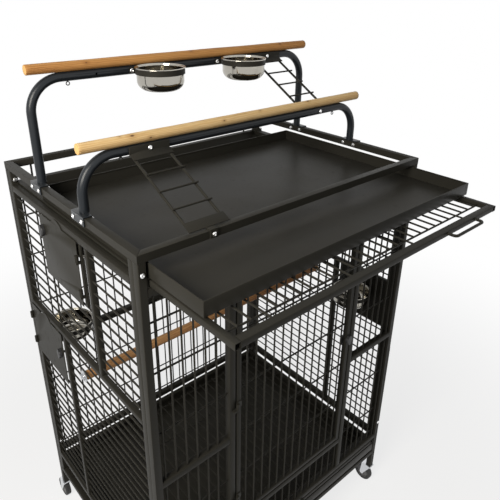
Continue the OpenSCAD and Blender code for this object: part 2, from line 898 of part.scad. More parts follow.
module play_bowl_left() { play_bowl(0); }
module play_bowl_right() { play_bowl(1); }

module feeder_bowl() {
    translate([feeder_mid, hinge_back + plate_gap + feeder_reach,
        feeder_h - feeder_ring_drop + seat]) bowl(feeder_bowl_h);
}

module feeder_bowl_left_upper() { color(steel) at_upper_feeder() feeder_bowl(); }
module feeder_bowl_left_lower() { color(steel) at_lower_feeder() feeder_bowl(); }
module feeder_bowl_right_upper() { color(steel) right_side() at_upper_feeder() feeder_bowl(); }
module feeder_bowl_right_lower() { color(steel) right_side() at_lower_feeder() feeder_bowl(); }

// Play top

module arch_ring() {
    difference() {
        circle(d = arch_d);
        circle(d = arch_d - 2 * arch_wall);
    }
}

// Half of an arch, from its middle to the right foot, with its top at the given rise. The
// leg stands on an angle plate that laps over the top rail's side.
module half_arch(rise) {
    leg_x = half_w - leg_inset - arch_r;
    top_z = rise - arch_r;
    bend_x = leg_x - arch_bend;
    leg_z = foot_top - 0.5;
    translate([leg_x, 0, leg_z]) linear_extrude(top_z - arch_bend - leg_z) arch_ring();
    translate([bend_x, 0, top_z - arch_bend]) rotate([90, 0, 0])
        rotate_extrude(angle = 90) translate([arch_bend, 0]) arch_ring();
    translate([0, 0, top_z]) rotate([0, 90, 0]) linear_extrude(bend_x) arch_ring();
    block([half_w + seam, -foot_w / 2, -tube], [half_w + seam + plate_t, foot_w / 2, foot_top]);
    block([half_w - tube, -foot_w / 2, 2 * seam], [half_w + seam + 1, foot_w / 2, foot_top]);
}

module tube_bolt_hole(x, z) {
    bolt_hole("y", [x, -tube, z], 2 * tube);
}

module arch(rise, holes) {
    difference() {
        union() {
            half_arch(rise);
            mirror([1, 0, 0]) half_arch(rise);
        }
        for (shift = [-foot_bolt, foot_bolt])
            bolt_hole("x", [-half_w - tube, shift, -tube_mid], 2 * cage_w);
        for (x = holes) tube_bolt_hole(x, rise - arch_r);
        for (side = [-1, 1])
            rod("z", [side * (half_w - hook_x), 0, rise - arch_d - 1], arch_d + 2,
                eye_shank + 0.4);
    }
}

front_arch_holes = [-half_w + ladder_x, half_w - ladder_x];
bowl_bolts = [for (x = play_bowl_x, side = [-1, 1]) x + side * bracket_bolt];

module front_arch() {
    color(paint) translate([0, front_arch_cy, frame_h]) arch(front_rise, front_arch_holes);
}

module rear_arch() {
    holes = concat(bowl_bolts, [half_w - ladder_x, -half_w + spare_hole_x]);
    color(paint) translate([0, rear_arch_cy, frame_h]) arch(front_rise + rear_step, holes);
}

// A wooden perch with a flat underside, lying on an arch whose tube top is at z = 0
module play_perch() {
    centre_z = perch_d / 2 - perch_flat;
    shank_up = 16;
    difference() {
        rod("x", [-half_w + perch_inset[0], 0, centre_z],
            cage_w - perch_inset[0] - perch_inset[1], perch_d);
        block([-half_w - 1, -perch_d, -perch_d], [half_w + 1, perch_d, seam]);
        for (side = [-1, 1])
            rod("z", [side * (half_w - hook_x), 0, -1], shank_up + 1.5, eye_shank + 0.2);
    }
}

module front_perch() {
    color(wood) translate([0, front_arch_cy, frame_h + front_rise]) play_perch();
}

module rear_perch() {
    color(wood) translate([0, rear_arch_cy, frame_h + front_rise + rear_step]) play_perch();
}

// An eye bolt that holds a perch down on its tube, whose middle is at the origin
module toy_hook() {
    eye_z = -arch_r - seam - eye_rod / 2 - eye_r;
    translate([0, 0, eye_z + eye_r]) cylinder(d = eye_shank, h = arch_r - eye_z - eye_r + 15);
    translate([0, 0, eye_z]) rotate([90, 0, 0])
        rotate_extrude() translate([eye_r, 0]) circle(d = eye_rod);
}

module toy_hooks() {
    color(paint) for (side = [-1, 1]) {
        translate([side * (half_w - hook_x), front_arch_cy, front_tube_z]) toy_hook();
        translate([side * (half_w - hook_x), rear_arch_cy, rear_tube_z]) toy_hook();
    }
}

// Ladders. Both hang from the front of an arch tube on a bent plate, and fall forward.
ladder_fold_y = arch_r + seam + plate_t / 2;
ladder_fold_z = -7;
ladder_plate = 22;
ladder_foot = 28;

// The fold is at the origin, and the ladder falls to a point at [-run, -fall]
module ladder_body(run, fall, rod_end) {
    length = norm([run, fall]);
    rod_x = ladder_w / 2 - 7;
    rod_z = -leaf_t - seam - ladder_rod / 2;
    rung_z = rod_z + (ladder_rod + wire) / 2 + seam;
    rotate([atan2(fall, run), 0, 0]) {
        for (side = [-1, 1])
            rod("y", [side * rod_x, -length + rod_end, rod_z], length - rod_end - 8, ladder_rod);
        for (k = [0:2])
            rod("x", [-rod_x - 5, -rung_first - k * rung_step, rung_z], 2 * rod_x + 10, wire);
    }
}

// Gives a profile in Y and Z the width of a ladder
module ladder_wide() {
    rotate([90, 0, 90]) linear_extrude(ladder_w, center = true) children();
}

// Profile of a sheet that falls at a tilt, between two distances from its fold
module ladder_sheet(from, to, tilt) {
    rotate(tilt) translate([-to, -leaf_t]) square([to - from, leaf_t]);
}

// Profile of the flange and folded sheet in front of a tube whose middle is at the origin
module ladder_top(tilt) {
    translate([-arch_r - seam - plate_t, -arch_r]) square([plate_t, 2 * arch_r - 1]);
    translate([-ladder_fold_y, ladder_fold_z]) ladder_sheet(0, ladder_plate, tilt);
}

module front_ladder() {
    tab_w = 22;
    foot_y = -half_d + 12;
    foot_z = frame_h + seam + plate_t + 0.9;
    run = front_arch_cy - ladder_fold_y - foot_y;
    fall = front_tube_z + ladder_fold_z - foot_z;
    tilt = atan2(fall, run);
    length = norm([run, fall]);
    color(paint) translate([-half_w + ladder_x, 0, 0]) {
        difference() {
            translate([0, front_arch_cy, front_tube_z]) ladder_wide() ladder_top(tilt);
            bolt_hole("y", [0, front_arch_cy - tube, front_tube_z], 2 * tube);
        }
        translate([0, front_arch_cy - ladder_fold_y, front_tube_z + ladder_fold_z])
            ladder_body(run, fall, 18);
        difference() {
            union() {
                translate([0, front_arch_cy - ladder_fold_y, front_tube_z + ladder_fold_z])
                    ladder_wide() ladder_sheet(length - ladder_foot, length, tilt);
                block([-tab_w / 2, -half_d - plate_t - seam, down(tube) + 1],
                    [tab_w / 2, -half_d - seam, frame_h + seam + plate_t]);
                block([-tab_w / 2, -half_d - plate_t - seam, frame_h + seam],
                    [tab_w / 2, foot_y + 3, frame_h + seam + plate_t]);
            }
            bolt_hole("y", [0, -half_d - tube, down(tube_mid)], 2 * tube);
        }
    }
}

module rear_ladder() {
    foot_z = 8;
    run = arch_step - 2 * ladder_fold_y;
    fall = rear_step + ladder_fold_z - foot_z;
    tilt = atan2(fall, run);
    length = norm([run, fall]);
    color(paint) translate([half_w - ladder_x, 0, 0]) {
        difference() {
            translate([0, rear_arch_cy, rear_tube_z]) ladder_wide() ladder_top(tilt);
            bolt_hole("y", [0, rear_arch_cy - tube, rear_tube_z], 2 * tube);
        }
        translate([0, rear_arch_cy - ladder_fold_y, rear_tube_z + ladder_fold_z])
            ladder_body(run, fall, 8);
        difference() {
            translate([0, front_arch_cy, front_tube_z]) ladder_wide() {
                translate([ladder_fold_y + run, foot_z + fall])
                    ladder_sheet(length - ladder_foot, length, tilt);
                translate([arch_r + seam, -arch_r]) square([plate_t, foot_z - 0.5 + arch_r]);
            }
            bolt_hole("y", [0, front_arch_cy - tube, front_tube_z], 2 * tube);
        }
    }
}

module bowl_rings() {
    color(paint) for (x = play_bowl_x) translate([x, 0, bowl_ring_z - ring_h])
        bowl_bracket();
}

// A band and its back plate, with the band's lower edge at z = 0
module bowl_bracket() {
    plate_y = rear_arch_cy - arch_r - seam - plate_t;
    neck_w = 30;
    bolt_z = ring_h - bowl_ring_rise;
    plate_low = bolt_z - bracket[2] / 2;
    difference() {
        union() {
            translate([0, bowl_ring_cy, 0]) cylinder(r = ring_r, h = ring_h);
            block([-neck_w / 2, bowl_ring_cy + ring_r - 6, 0], [neck_w / 2, plate_y + 1, ring_h]);
            block([-bracket[0] / 2, plate_y, plate_low],
                [bracket[0] / 2, plate_y + plate_t, plate_low + bracket[2]]);
        }
        translate([0, bowl_ring_cy, -1]) cylinder(r = ring_r - ring_t, h = ring_h + 2);
        for (side = [-1, 1])
            bolt_hole("y", [side * bracket_bolt, plate_y - 1, bolt_z], 2 * plate_t);
    }
}

// Fasteners

module foot_bolts(side) {
    for (cy = [front_arch_cy, rear_arch_cy], shift = [-foot_bolt, foot_bolt])
        translate([side * (half_w + plate_t + 2 * seam), cy + shift, down(tube_mid)])
            rotate([0, -side * 90, 0]) bolt(plate_t + tube + 2 * seam);
}

// A bolt through an arch tube and a plate in front of it
module tube_bolt(x, cy, z, behind) {
    translate([x, cy - arch_r - plate_t - 2 * seam, z]) rotate(laid("y"))
        bolt(arch_d + plate_t + 3 * seam + behind);
}

module arch_bolts() {
    color(steel) {
        foot_bolts(-1);
        foot_bolts(1);
        tube_bolt(-half_w + ladder_x, front_arch_cy, front_tube_z, 0);
        translate([0, plate_t + seam, 0])
            tube_bolt(half_w - ladder_x, front_arch_cy, front_tube_z, 0);
        tube_bolt(half_w - ladder_x, rear_arch_cy, rear_tube_z, 0);
        for (x = bowl_bolts) tube_bolt(x, rear_arch_cy, rear_tube_z, 0);
        translate([-half_w + ladder_x, -half_d - plate_t - 2 * seam, down(tube_mid)])
            rotate(laid("y")) bolt(tube + plate_t + 2 * seam);
    }
}

module frame_bolts() {
    grip = 2 * tube + 2 * seam;
    color(steel) for (x_side = [-1, 1], turn = [0, 180], drop = post_bolt_drops)
        rotate([0, 0, turn]) translate([x_side * post_x, -half_d - seam, down(drop)])
            rotate(laid("y")) bolt(grip);
}

// Inner perch

dowel_z = down(side_gap(dowel_drop));
dowel_end = half_w - bar_in - wire / 2 - seat;

module inner_perch() {
    stud_hole = 25;
    color(wood) difference() {
        rod("x", [-dowel_end, 0, dowel_z], 2 * dowel_end, dowel_d);
        for (side = [-1, 1]) translate([side * dowel_end, 0, dowel_z]) rotate([0, -side * 90, 0])
            translate([0, 0, -1]) cylinder(d = bolt_d + seam, h = stud_hole + 1);
    }
}

// A stud, a washer over two bars and a wing nut at the left end of the inner perch
module perch_fixing() {
    washer = [36, 2];
    nut_d = 12;
    nut_h = 6;
    wing = [4, 28, 5];
    bar_face = -half_w + bar_in - wire / 2 - seam;
    translate([bar_face - washer[1], 0, dowel_z]) rotate(laid("x")) difference() {
        cylinder(d = washer[0], h = washer[1]);
        translate([0, 0, -1]) cylinder(d = bolt_d + bolt_play, h = washer[1] + 2);
    }
    rod("x", [bar_face - washer[1] - nut_h - 2, 0, dowel_z],
        -dowel_end + 22 - bar_face + washer[1] + nut_h + 2, bolt_d);
    translate([bar_face - washer[1] - nut_h - seam, 0, dowel_z]) rotate(laid("x")) {
        difference() {
            union() {
                cylinder(d = nut_d, h = nut_h);
                translate([-wing[0] / 2, -wing[1] / 2, 0]) cube(wing);
            }
            translate([0, 0, -1]) cylinder(d = bolt_d + seam, h = nut_h + 2);
        }
    }
}

module perch_fixings() {
    color(steel) {
        perch_fixing();
        right_side() perch_fixing();
    }
}

// Castors

cheek_t = 3;
cheek_in = wheel_w / 2 + 0.7;
axle_d = 6;
axle_z = wheel_d / 2;

module caster_sockets() {
    plug = tube - 2 * tube_wall - 2 * seam;
    color(rubber) for (x_side = [-1, 1], y_side = [-1, 1])
        translate([x_side * post_x, y_side * post_y, leg_end_z]) difference() {
            union() {
                block([-tube_mid, -tube_mid, -socket_flange], [tube_mid, tube_mid, 0]);
                block([-plug / 2, -plug / 2, -1], [plug / 2, plug / 2, socket_depth]);
            }
            translate([0, 0, -tube])
                cylinder(d = stem_d + 2 * run_gap, h = tube + socket_depth + 1);
        }
}

module cheek() {
    foot_r = 8;
    rotate([90, 0, 90]) linear_extrude(cheek_t) {
        polygon([[-11, crown_z + 1], [castor_trail + 3, crown_z + 1],
            [castor_trail + foot_r, axle_z], [castor_trail - foot_r, axle_z]]);
        translate([castor_trail, axle_z]) circle(foot_r);
    }
}

module caster(x_side, y_side) {
    color(steel) translate([x_side * post_x, y_side * post_y, 0]) {
        translate([0, 0, crown_z]) cylinder(d = stem_d, h = crown_h + seat + socket_depth);
        block([-cheek_in - cheek_t, -13, crown_z],
            [cheek_in + cheek_t, castor_trail + 3, crown_z + crown_h]);
        for (x = [-cheek_in - cheek_t, cheek_in]) translate([x, 0, 0]) cheek();
        rod("x", [-cheek_in - 1, castor_trail, axle_z], 2 * cheek_in + 2, axle_d);
    }
}

module wheel(x_side, y_side) {
    rim_step = 1.5;
    color(rubber) translate([x_side * post_x, y_side * post_y + castor_trail, axle_z])
        rotate(laid("x")) difference() {
            cylinder(d = wheel_d, h = wheel_w, center = true);
            cylinder(d = axle_d + 2 * run_gap, h = wheel_w + 2, center = true);
            for (side = [-1, 1]) translate([0, 0, side * wheel_w / 2]) difference() {
                cylinder(d = 0.7 * wheel_d, h = 2 * rim_step, center = true);
                cylinder(d = 20, h = 3 * rim_step, center = true);
            }
        }
}

upper_post(-1, -1);  // post_front_left
upper_post(1, -1);  // post_front_right
upper_post(-1, 1);  // post_rear_left
upper_post(1, 1);  // post_rear_right
base_frame();
top_frame();
side_panel_left();
side_panel_right();
side_bars_left();
side_bars_right();
back_panel();
back_bars();
front_panel();
front_bars();
tray_runners();
front_arch();
rear_arch();
front_perch();
rear_perch();
front_ladder();
rear_ladder();
bowl_rings();
arch_bolts();
frame_bolts();
toy_hooks();
feeder_hinges();
door_hinges();
inner_perch();
perch_fixings();
caster_sockets();
play_tray();
roof_grille();
grille_handle();
front_door();
front_door_bars();
door_latch();
floor_tray();
floor_grille();
play_bowl_left();
play_bowl_right();
feeder_door_left_upper();
feeder_door_left_lower();
feeder_door_right_upper();
feeder_door_right_lower();
feeder_latch_left_upper();
feeder_latch_left_lower();
feeder_latch_right_upper();
feeder_latch_right_lower();
feeder_bowl_left_upper();
feeder_bowl_left_lower();
feeder_bowl_right_upper();
feeder_bowl_right_lower();
caster(-1, -1);  // caster_front_left
caster(1, -1);  // caster_front_right
caster(-1, 1);  // caster_rear_left
caster(1, 1);  // caster_rear_right
wheel(-1, -1);  // wheel_front_left
wheel(1, -1);  // wheel_front_right
wheel(-1, 1);  // wheel_rear_left
wheel(1, 1);  // wheel_rear_right
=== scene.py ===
"""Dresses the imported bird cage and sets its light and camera.

The bars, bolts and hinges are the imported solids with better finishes. Tubes, folded sheet, perches,
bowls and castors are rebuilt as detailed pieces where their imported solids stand, in metres.
"""

import logging
import math
from dataclasses import dataclass, field
from enum import Enum
from typing import Any, Iterable, Sequence

import bmesh
import bpy
from mathutils import Matrix, Vector, noise


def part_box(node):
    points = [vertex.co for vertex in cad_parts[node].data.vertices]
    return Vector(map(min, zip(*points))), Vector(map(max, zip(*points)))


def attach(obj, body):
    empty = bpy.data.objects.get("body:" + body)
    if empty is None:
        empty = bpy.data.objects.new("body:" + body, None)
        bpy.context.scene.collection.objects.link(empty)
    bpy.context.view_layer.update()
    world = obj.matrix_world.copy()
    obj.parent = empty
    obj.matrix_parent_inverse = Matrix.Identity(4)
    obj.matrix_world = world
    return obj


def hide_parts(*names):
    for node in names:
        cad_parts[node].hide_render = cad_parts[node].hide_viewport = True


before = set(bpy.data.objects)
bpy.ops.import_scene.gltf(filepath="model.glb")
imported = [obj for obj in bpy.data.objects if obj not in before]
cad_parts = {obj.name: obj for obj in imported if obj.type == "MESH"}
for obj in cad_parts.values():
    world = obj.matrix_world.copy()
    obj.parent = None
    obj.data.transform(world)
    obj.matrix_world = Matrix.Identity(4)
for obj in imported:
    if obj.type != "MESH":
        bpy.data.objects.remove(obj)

LOG = logging.getLogger("bird_cage")
TINY = 1e-6
NEAR = 1e-5
FLAT_DEGREES = 0.6
CORNER_DEGREES = 55
PERCH_RADIUS = 0.014
FRONT_PERCH_AXIS = (-0.120, 1.573)
REAR_PERCH_AXIS = (0.132, 1.713)
Colour = tuple[float, float, float, float]
Point = tuple[float, float]
CORNERS = tuple(f"{end}_{side}" for end in ("front", "rear") for side in ("left", "right"))
SEEN_RAYS = ("Is Camera Ray", "Is Glossy Ray", "Is Transmission Ray")
FEEDERS = tuple(f"{side}_{level}" for side in ("left", "right") for level in ("upper", "lower"))


class Axis(Enum):
    """The three directions of the cage."""

    X = Vector((1, 0, 0))
    Y = Vector((0, 1, 0))
    Z = Vector((0, 0, 1))


# Shader maths


class Value:
    """A socket of a material's nodes that takes part in Python arithmetic."""

    def __init__(self, tree: bpy.types.NodeTree, socket: bpy.types.NodeSocket | None) -> None:
        """Keeps the socket and its tree."""
        self.tree = tree
        self.socket = socket

    def _math(self, operation: str, *terms: "float | Value") -> "Value":
        """Adds a Math node.

        Args:
            operation: The node's operation.
            terms: The values or numbers of its sockets, in order.

        Returns:
            The node's result.
        """
        node = self.tree.nodes.new("ShaderNodeMath")
        node.operation = operation
        for slot, term in zip(node.inputs, terms):
            if isinstance(term, Value):
                self.tree.links.new(term.socket, slot)
            else:
                slot.default_value = term
        return Value(self.tree, node.outputs[0])

    def __add__(self, other: "float | Value") -> "Value":
        """Adds two values."""
        return self._math("ADD", self, other)

    __radd__ = __add__

    def __mul__(self, other: "float | Value") -> "Value":
        """Multiplies two values."""
        return self._math("MULTIPLY", self, other)

    __rmul__ = __mul__

    def __sub__(self, other: "float | Value") -> "Value":
        """Subtracts the other value."""
        return self._math("SUBTRACT", self, other)

    def __rsub__(self, other: "float | Value") -> "Value":
        """Subtracts this value from the other."""
        return self._math("SUBTRACT", other, self)

    def band(self, low: float, high: float) -> "Value":
        """Spreads the values from low to high over 0 to 1, smoothly.

        Args:
            low: The value that becomes 0.
            high: The value that becomes 1.

        Returns:
            The spread value, from 0 to 1.
        """
        node = self.tree.nodes.new("ShaderNodeMapRange")
        node.interpolation_type = "SMOOTHSTEP"
        self.tree.links.new(self.socket, node.inputs["Value"])
        node.inputs["From Min"].default_value = low
        node.inputs["From Max"].default_value = high
        return Value(self.tree, node.outputs[0])


class Graph:
    """The nodes of one material."""

    def __init__(self, name: str) -> None:
        """Starts an empty material of that name."""
        self.material = bpy.data.materials.new(name)
        self.material.use_nodes = True
        self.tree = self.material.node_tree
        self.tree.nodes.clear()

    def node(
        self,
        kind: str,
        settings: dict[str, Any] | None = None,
        inputs: dict[str | int, Any] | None = None,
        output: str | int = 0,
    ) -> Value:
        """Adds any node.

        Args:
            kind: The node's type.
            settings: Its properties. A list of (position, colour) pairs sets a ramp's stops.
            inputs: Values or links of its sockets, by name or number.
            output: The output that is wanted.

        Returns:
            That output.
        """
        node = self.tree.nodes.new(kind)
        for name, setting in (settings or {}).items():
            if name == "stops":
                self._set_stops(node.color_ramp, setting)
            else:
                setattr(node, name, setting)
        for name, term in (inputs or {}).items():
            if isinstance(term, Value):
                self.tree.links.new(term.socket, node.inputs[name])
            else:
                node.inputs[name].default_value = term
        return Value(self.tree, node.outputs[output] if node.outputs else None)

    @staticmethod
    def _set_stops(ramp: bpy.types.ColorRamp, stops: Sequence[tuple[float, Colour]]) -> None:
        """Gives a ramp its stops.

        Args:
            ramp: The ramp.
            stops: Pairs of position and colour, in order.
        """
        while len(ramp.elements) < len(stops):
            ramp.elements.new(1.0)
        for element, (position, colour) in zip(ramp.elements, stops):
            element.position = position
            element.color = colour

    def place(self, scale: Sequence[float] = (1, 1, 1), turn: Sequence[float] = (0, 0, 0)) -> Value:
        """Gives the point on the piece, stretched and turned.

        Args:
            scale: The stretch along each axis.
            turn: The turn about each axis, in degrees.

        Returns:
            The point, in metres times the stretch.
        """
        point = self.node("ShaderNodeTexCoord", output="Object")
        turned = [math.radians(angle) for angle in turn]
        inputs = {"Vector": point, "Scale": scale, "Rotation": turned}
        return self.node("ShaderNodeMapping", None, inputs)

    def noise(self, where: Value, scale: float, detail: float = 3, roughness: float = 0.5) -> Value:
        """Gives a cloudy pattern.

        Args:
            where: The point that it is read at.
            scale: Its repeats in a metre.
            detail: Its finer layers.
            roughness: The share that these keep.

        Returns:
            The pattern, from 0 to 1.
        """
        return self.node(
            "ShaderNodeTexNoise",
            None,
            {"Vector": where, "Scale": scale, "Detail": detail, "Roughness": roughness},
        )

    def mix(self, factor: Value, low: Any, high: Any) -> Value:
        """Mixes two colours.

        Args:
            factor: The share of the second.
            low: The first colour.
            high: The second colour.

        Returns:
            The mixed colour.
        """
        return self.node("ShaderNodeMix", {"data_type": "RGBA"}, {0: factor, 6: low, 7: high}, 2)

    def bump(
        self, height: Value, depth: float, strength: float = 1, under: Value | None = None
    ) -> Value:
        """Turns a height into a bent normal.

        Args:
            height: The height, from 0 to 1.
            depth: What 1 means, in metres.
            strength: The share that shows.
            under: A normal that is already bent.

        Returns:
            The bent normal.
        """
        inputs: dict[str | int, Any] = {"Height": height, "Distance": depth, "Strength": strength}
        if under is not None:
            inputs["Normal"] = under
        return self.node("ShaderNodeBump", None, inputs)

    def facing(self, direction: str) -> Value:
        """Gives how far the surface faces along X, Y or Z of the scene.

        Args:
            direction: The letter of the direction.

        Returns:
            The normal's share along it, from -1 to 1.
        """
        normal = self.node("ShaderNodeNewGeometry", output="Normal")
        return self.node("ShaderNodeSeparateXYZ", None, {0: normal}, direction)

    def finish(self, **sockets: Any) -> bpy.types.Material:
        """Ends the material in one glossy surface.

        Args:
            sockets: The surface's sockets, with _ for a space in a name.

        Returns:
            The material.
        """
        inputs = {name.replace("_", " "): term for name, term in sockets.items()}
        surface = self.node("ShaderNodeBsdfPrincipled", None, inputs)
        self.node("ShaderNodeOutputMaterial", None, {"Surface": surface})
        return self.material


def grey(level: float) -> Colour:
    """Gives a neutral colour of that level."""
    return (level, level, level, 1.0)


def lighter(tone: Colour, times: float) -> Colour:
    """Gives a colour that many times as light."""
    red, green, blue, alpha = tone
    return (red * times, green * times, blue * times, alpha)


# Finishes


@dataclass(frozen=True)
class PowderCoat:
    """Satin anthracite powder coat with a fine sandy grain, scuffs and some dust on top."""

    name: str = "powder_coat"
    tone: Colour = (0.025, 0.0238, 0.0198, 1)
    grain: Colour = (0.075, 0.071, 0.062, 1)
    dust: Colour = (0.085, 0.078, 0.064, 1)
    dusting: float = 0.06
    roughness: float = 0.38
    gloss: float = 0.07
    clouds: float = 7
    grains: float = 900
    grain_depth: float = 0.00012
    scuffs: float = 60
    waves: float = 5.5
    wave: float = 0.0

    def build(self) -> bpy.types.Material:
        """Builds the finish."""
        g = Graph(self.name)
        point = g.place()
        clouds = g.noise(point, self.clouds, 4)
        speckle = g.noise(point, self.grains, 2)
        scuffs = g.noise(g.place((1, 1, 0.35), (20, 35, 10)), self.scuffs, 5, 0.65)
        lying = g.facing("Z").band(0.35, 1.0) * clouds.band(0.25, 0.75) * self.dusting
        tone = g.mix(clouds.band(0.2, 0.8) * 0.35, self.tone, lighter(self.tone, 1.35))
        tone = g.mix(speckle.band(0.62, 0.80) * 0.25, tone, self.grain)
        tone = g.mix(lying, tone, self.dust)
        rough = self.roughness + clouds * 0.10 + scuffs.band(0.55, 0.75) * 0.12 + lying * 0.4
        normal = g.bump(speckle, self.grain_depth, 0.35)
        if self.wave:
            normal = g.bump(g.noise(point, self.waves, 1), self.wave, 1.0, normal)
        return g.finish(
            Base_Color=tone, Roughness=rough, Normal=normal, Specular_IOR_Level=self.gloss
        )


@dataclass(frozen=True)
class Timber:
    """Turned and oiled wood whose grain runs along X, with rings, pores and small knots."""

    name: str
    pale: Colour
    middle: Colour
    deep: Colour
    knot: Colour = (0.085, 0.032, 0.013, 1)
    end_grain: Colour = (0.78, 0.50, 0.19, 1)
    bark: Colour = (0.30, 0.13, 0.04, 1)
    knots: tuple[tuple[float, float, float, float], ...] = ()
    knot_squash: float = 0.62
    roughness: float = 0.46
    gloss: float = 0.22
    grain_depth: float = 0.00035
    shift: float = 0.0

    def build(self) -> bpy.types.Material:
        """Builds the finish."""
        g = Graph(self.name)
        drift = g.noise(g.place((1.1, 9, 9)), 1.0, 2)
        fibre = g.noise(g.place((3.0, 55, 55)), 3.2, 5, 0.6)
        streak = g.noise(g.place((1.6, 26, 26), (0, 0, 2)), 1.7, 3)
        rings = g.node(
            "ShaderNodeTexWave",
            {"wave_type": "BANDS", "bands_direction": "Z"},
            {
                "Vector": g.place((1.2, 10, 10)),
                "Scale": 7.5,
                "Distortion": 6.5,
                "Detail": 3,
                "Detail Scale": 1.3,
            },
            "Fac",
        )
        shade = rings * 0.34 + streak * 0.8 + fibre * 0.30 + (drift - 0.5) * 0.8 + self.shift - 0.19
        tone = g.node(
            "ShaderNodeValToRGB",
            {"stops": [(0.18, self.deep), (0.52, self.middle), (0.86, self.pale)]},
            {"Fac": shade},
        )
        pores = g.noise(g.place((14, 420, 420)), 1.0, 2).band(0.60, 0.72)
        tone = g.mix(pores * 0.35, tone, self.deep)
        height = fibre * 0.5 + (1 - pores) * 0.5
        for x, y, z, size in self.knots:
            away = g.node(
                "ShaderNodeVectorMath",
                {"operation": "DISTANCE"},
                {0: g.place((self.knot_squash, 1, 1)), 1: (x * self.knot_squash, y, z)},
                "Value",
            )
            away = away + (fibre - 0.5) * size * 0.9
            heart = 1 - away.band(size * 0.25, size * 0.75)
            halo = 1 - away.band(size * 0.6, size * 2.4)
            tone = g.mix(halo * 0.45, tone, self.deep)
            tone = g.mix(heart * 0.9, tone, self.knot)
        across = g.facing("X")
        facing = across * across
        end = facing.band(0.6, 0.97)
        tone = g.mix(facing.band(0.25, 0.6) * (1 - end), tone, self.bark)
        tone = g.mix(end * 0.8, tone, self.end_grain)
        return g.finish(
            Base_Color=tone,
            Roughness=self.roughness + fibre * 0.16,
            Normal=g.bump(height, self.grain_depth, 0.6),
            Specular_IOR_Level=self.gloss,
        )


@dataclass(frozen=True)
class Metal:
    """Bare or plated metal with fine scratches and slight tarnish."""

    name: str
    tone: Colour
    tarnish: Colour
    roughness: float
    scratch: float = 0.08
    grain: float = 0.2
    line_depth: float = 0.00006

    def build(self) -> bpy.types.Material:
        """Builds the finish."""
        g = Graph(self.name)
        clouds = g.noise(g.place(), 24, 4)
        lines = g.noise(g.place((60, 60, 2200)), 1.0, 2)
        tone = g.mix(clouds.band(0.45, 0.8) * 0.5, self.tone, self.tarnish)
        rough = self.roughness + clouds * 0.06 + lines.band(0.5, 0.75) * self.scratch
        normal = g.bump(lines, self.line_depth, self.grain)
        return g.finish(Base_Color=tone, Metallic=1.0, Roughness=rough, Normal=normal)


@dataclass(frozen=True)
class Moulded:
    """Moulded rubber or plastic with a matt, slightly dusty skin."""

    name: str
    tone: Colour
    roughness: float
    grit: float = 0.0001

    def build(self) -> bpy.types.Material:
        """Builds the finish."""
        g = Graph(self.name)
        point = g.place()
        grit = g.noise(point, 700, 3)
        clouds = g.noise(point, 30, 4)
        tone = g.mix(clouds.band(0.35, 0.8) * 0.4, self.tone, lighter(self.tone, 1.9))
        rough = self.roughness + clouds * 0.12
        return g.finish(Base_Color=tone, Roughness=rough, Normal=g.bump(grit, self.grit, 0.5))


def knots_on(
    axis: tuple[float, float], spots: Sequence[tuple[float, float, float]]
) -> tuple[tuple[float, float, float, float], ...]:
    """Places knots on the skin of a perch that runs along X.

    Args:
        axis: The Y and Z of the perch's middle line.
        spots: For each knot its X, its turn up from the front in degrees, and its size.

    Returns:
        Each knot's point and size, in metres.
    """
    y, z = axis
    turned = [(x, math.radians(turn), size) for x, turn, size in spots]
    return tuple(
        (x, y - PERCH_RADIUS * math.cos(turn), z + PERCH_RADIUS * math.sin(turn), size)
        for x, turn, size in turned
    )


class Finish(Enum):
    """Every finish on the cage."""

    PAINT = PowderCoat()
    # The arches' copy of the coat is darker and bluer than the frame's coat: a painted reflection of
    # a dark room and bluish light.
    ARCH = PowderCoat(
        name="powder_coat_arch_painted_reflection", tone=(0.014, 0.017, 0.021, 1), roughness=0.24, gloss=0.26
    )
    SHEET = PowderCoat(name="powder_coat_sheet", roughness=0.30, dusting=0.08, wave=0.0035)
    FRONT_PERCH = Timber(
        name="front_perch_wood",
        pale=(0.84, 0.61, 0.32, 1),
        middle=(0.75, 0.50, 0.225, 1),
        deep=(0.48, 0.26, 0.10, 1),
        knots=knots_on(
            FRONT_PERCH_AXIS,
            (
                (-0.350, 50, 0.0056),
                (-0.303, -8, 0.0044),
                (-0.380, 72, 0.0030),
                (-0.076, 20, 0.0034),
                (0.058, 62, 0.0032),
                (0.255, 70, 0.0048),
            ),
        ),
        shift=0.05,
    )
    REAR_PERCH = Timber(
        name="rear_perch_wood",
        pale=(0.63, 0.33, 0.115, 1),
        middle=(0.51, 0.245, 0.078, 1),
        deep=(0.29, 0.115, 0.035, 1),
        knots=knots_on(
            REAR_PERCH_AXIS,
            ((-0.329, 28, 0.0040), (0.006, 62, 0.0044), (0.372, 45, 0.0036)),
        ),
    )
    INNER_PERCH = Timber(
        name="inner_perch_wood",
        pale=(0.52, 0.29, 0.13, 1),
        middle=(0.40, 0.20, 0.08, 1),
        deep=(0.22, 0.09, 0.035, 1),
    )
    BOLT = Metal("bright_zinc", (0.90, 0.90, 0.90, 1), (0.74, 0.74, 0.75, 1), 0.26)
    # The recess finish is painted shade: a dark steel in the bolt heads' recesses, where shade falls.
    RECESS_SHADE = Metal("recess_painted_shade", (0.10, 0.10, 0.11, 1), (0.06, 0.06, 0.06, 1), 0.5)
    # The bowl steel is toned darker and warmer than bare steel, a painted reflection of a dark, warm
    # room; its tarnish clouds are its own.
    BOWL = Metal("polished_steel_painted_reflection", (0.42, 0.40, 0.355, 1), (0.30, 0.275, 0.23, 1), 0.06, 0.05, 0.05)
    CASTOR = Metal("castor_zinc", (0.66, 0.67, 0.69, 1), (0.48, 0.49, 0.52, 1), 0.30)
    RUBBER = Moulded("wheel_rubber", (0.030, 0.030, 0.031, 1), 0.62)
    HUB = Moulded("hub_plastic", (0.16, 0.16, 0.165, 1), 0.45, 0.00005)
    PLASTIC = Moulded("black_plastic", (0.018, 0.018, 0.019, 1), 0.38, 0.00006)


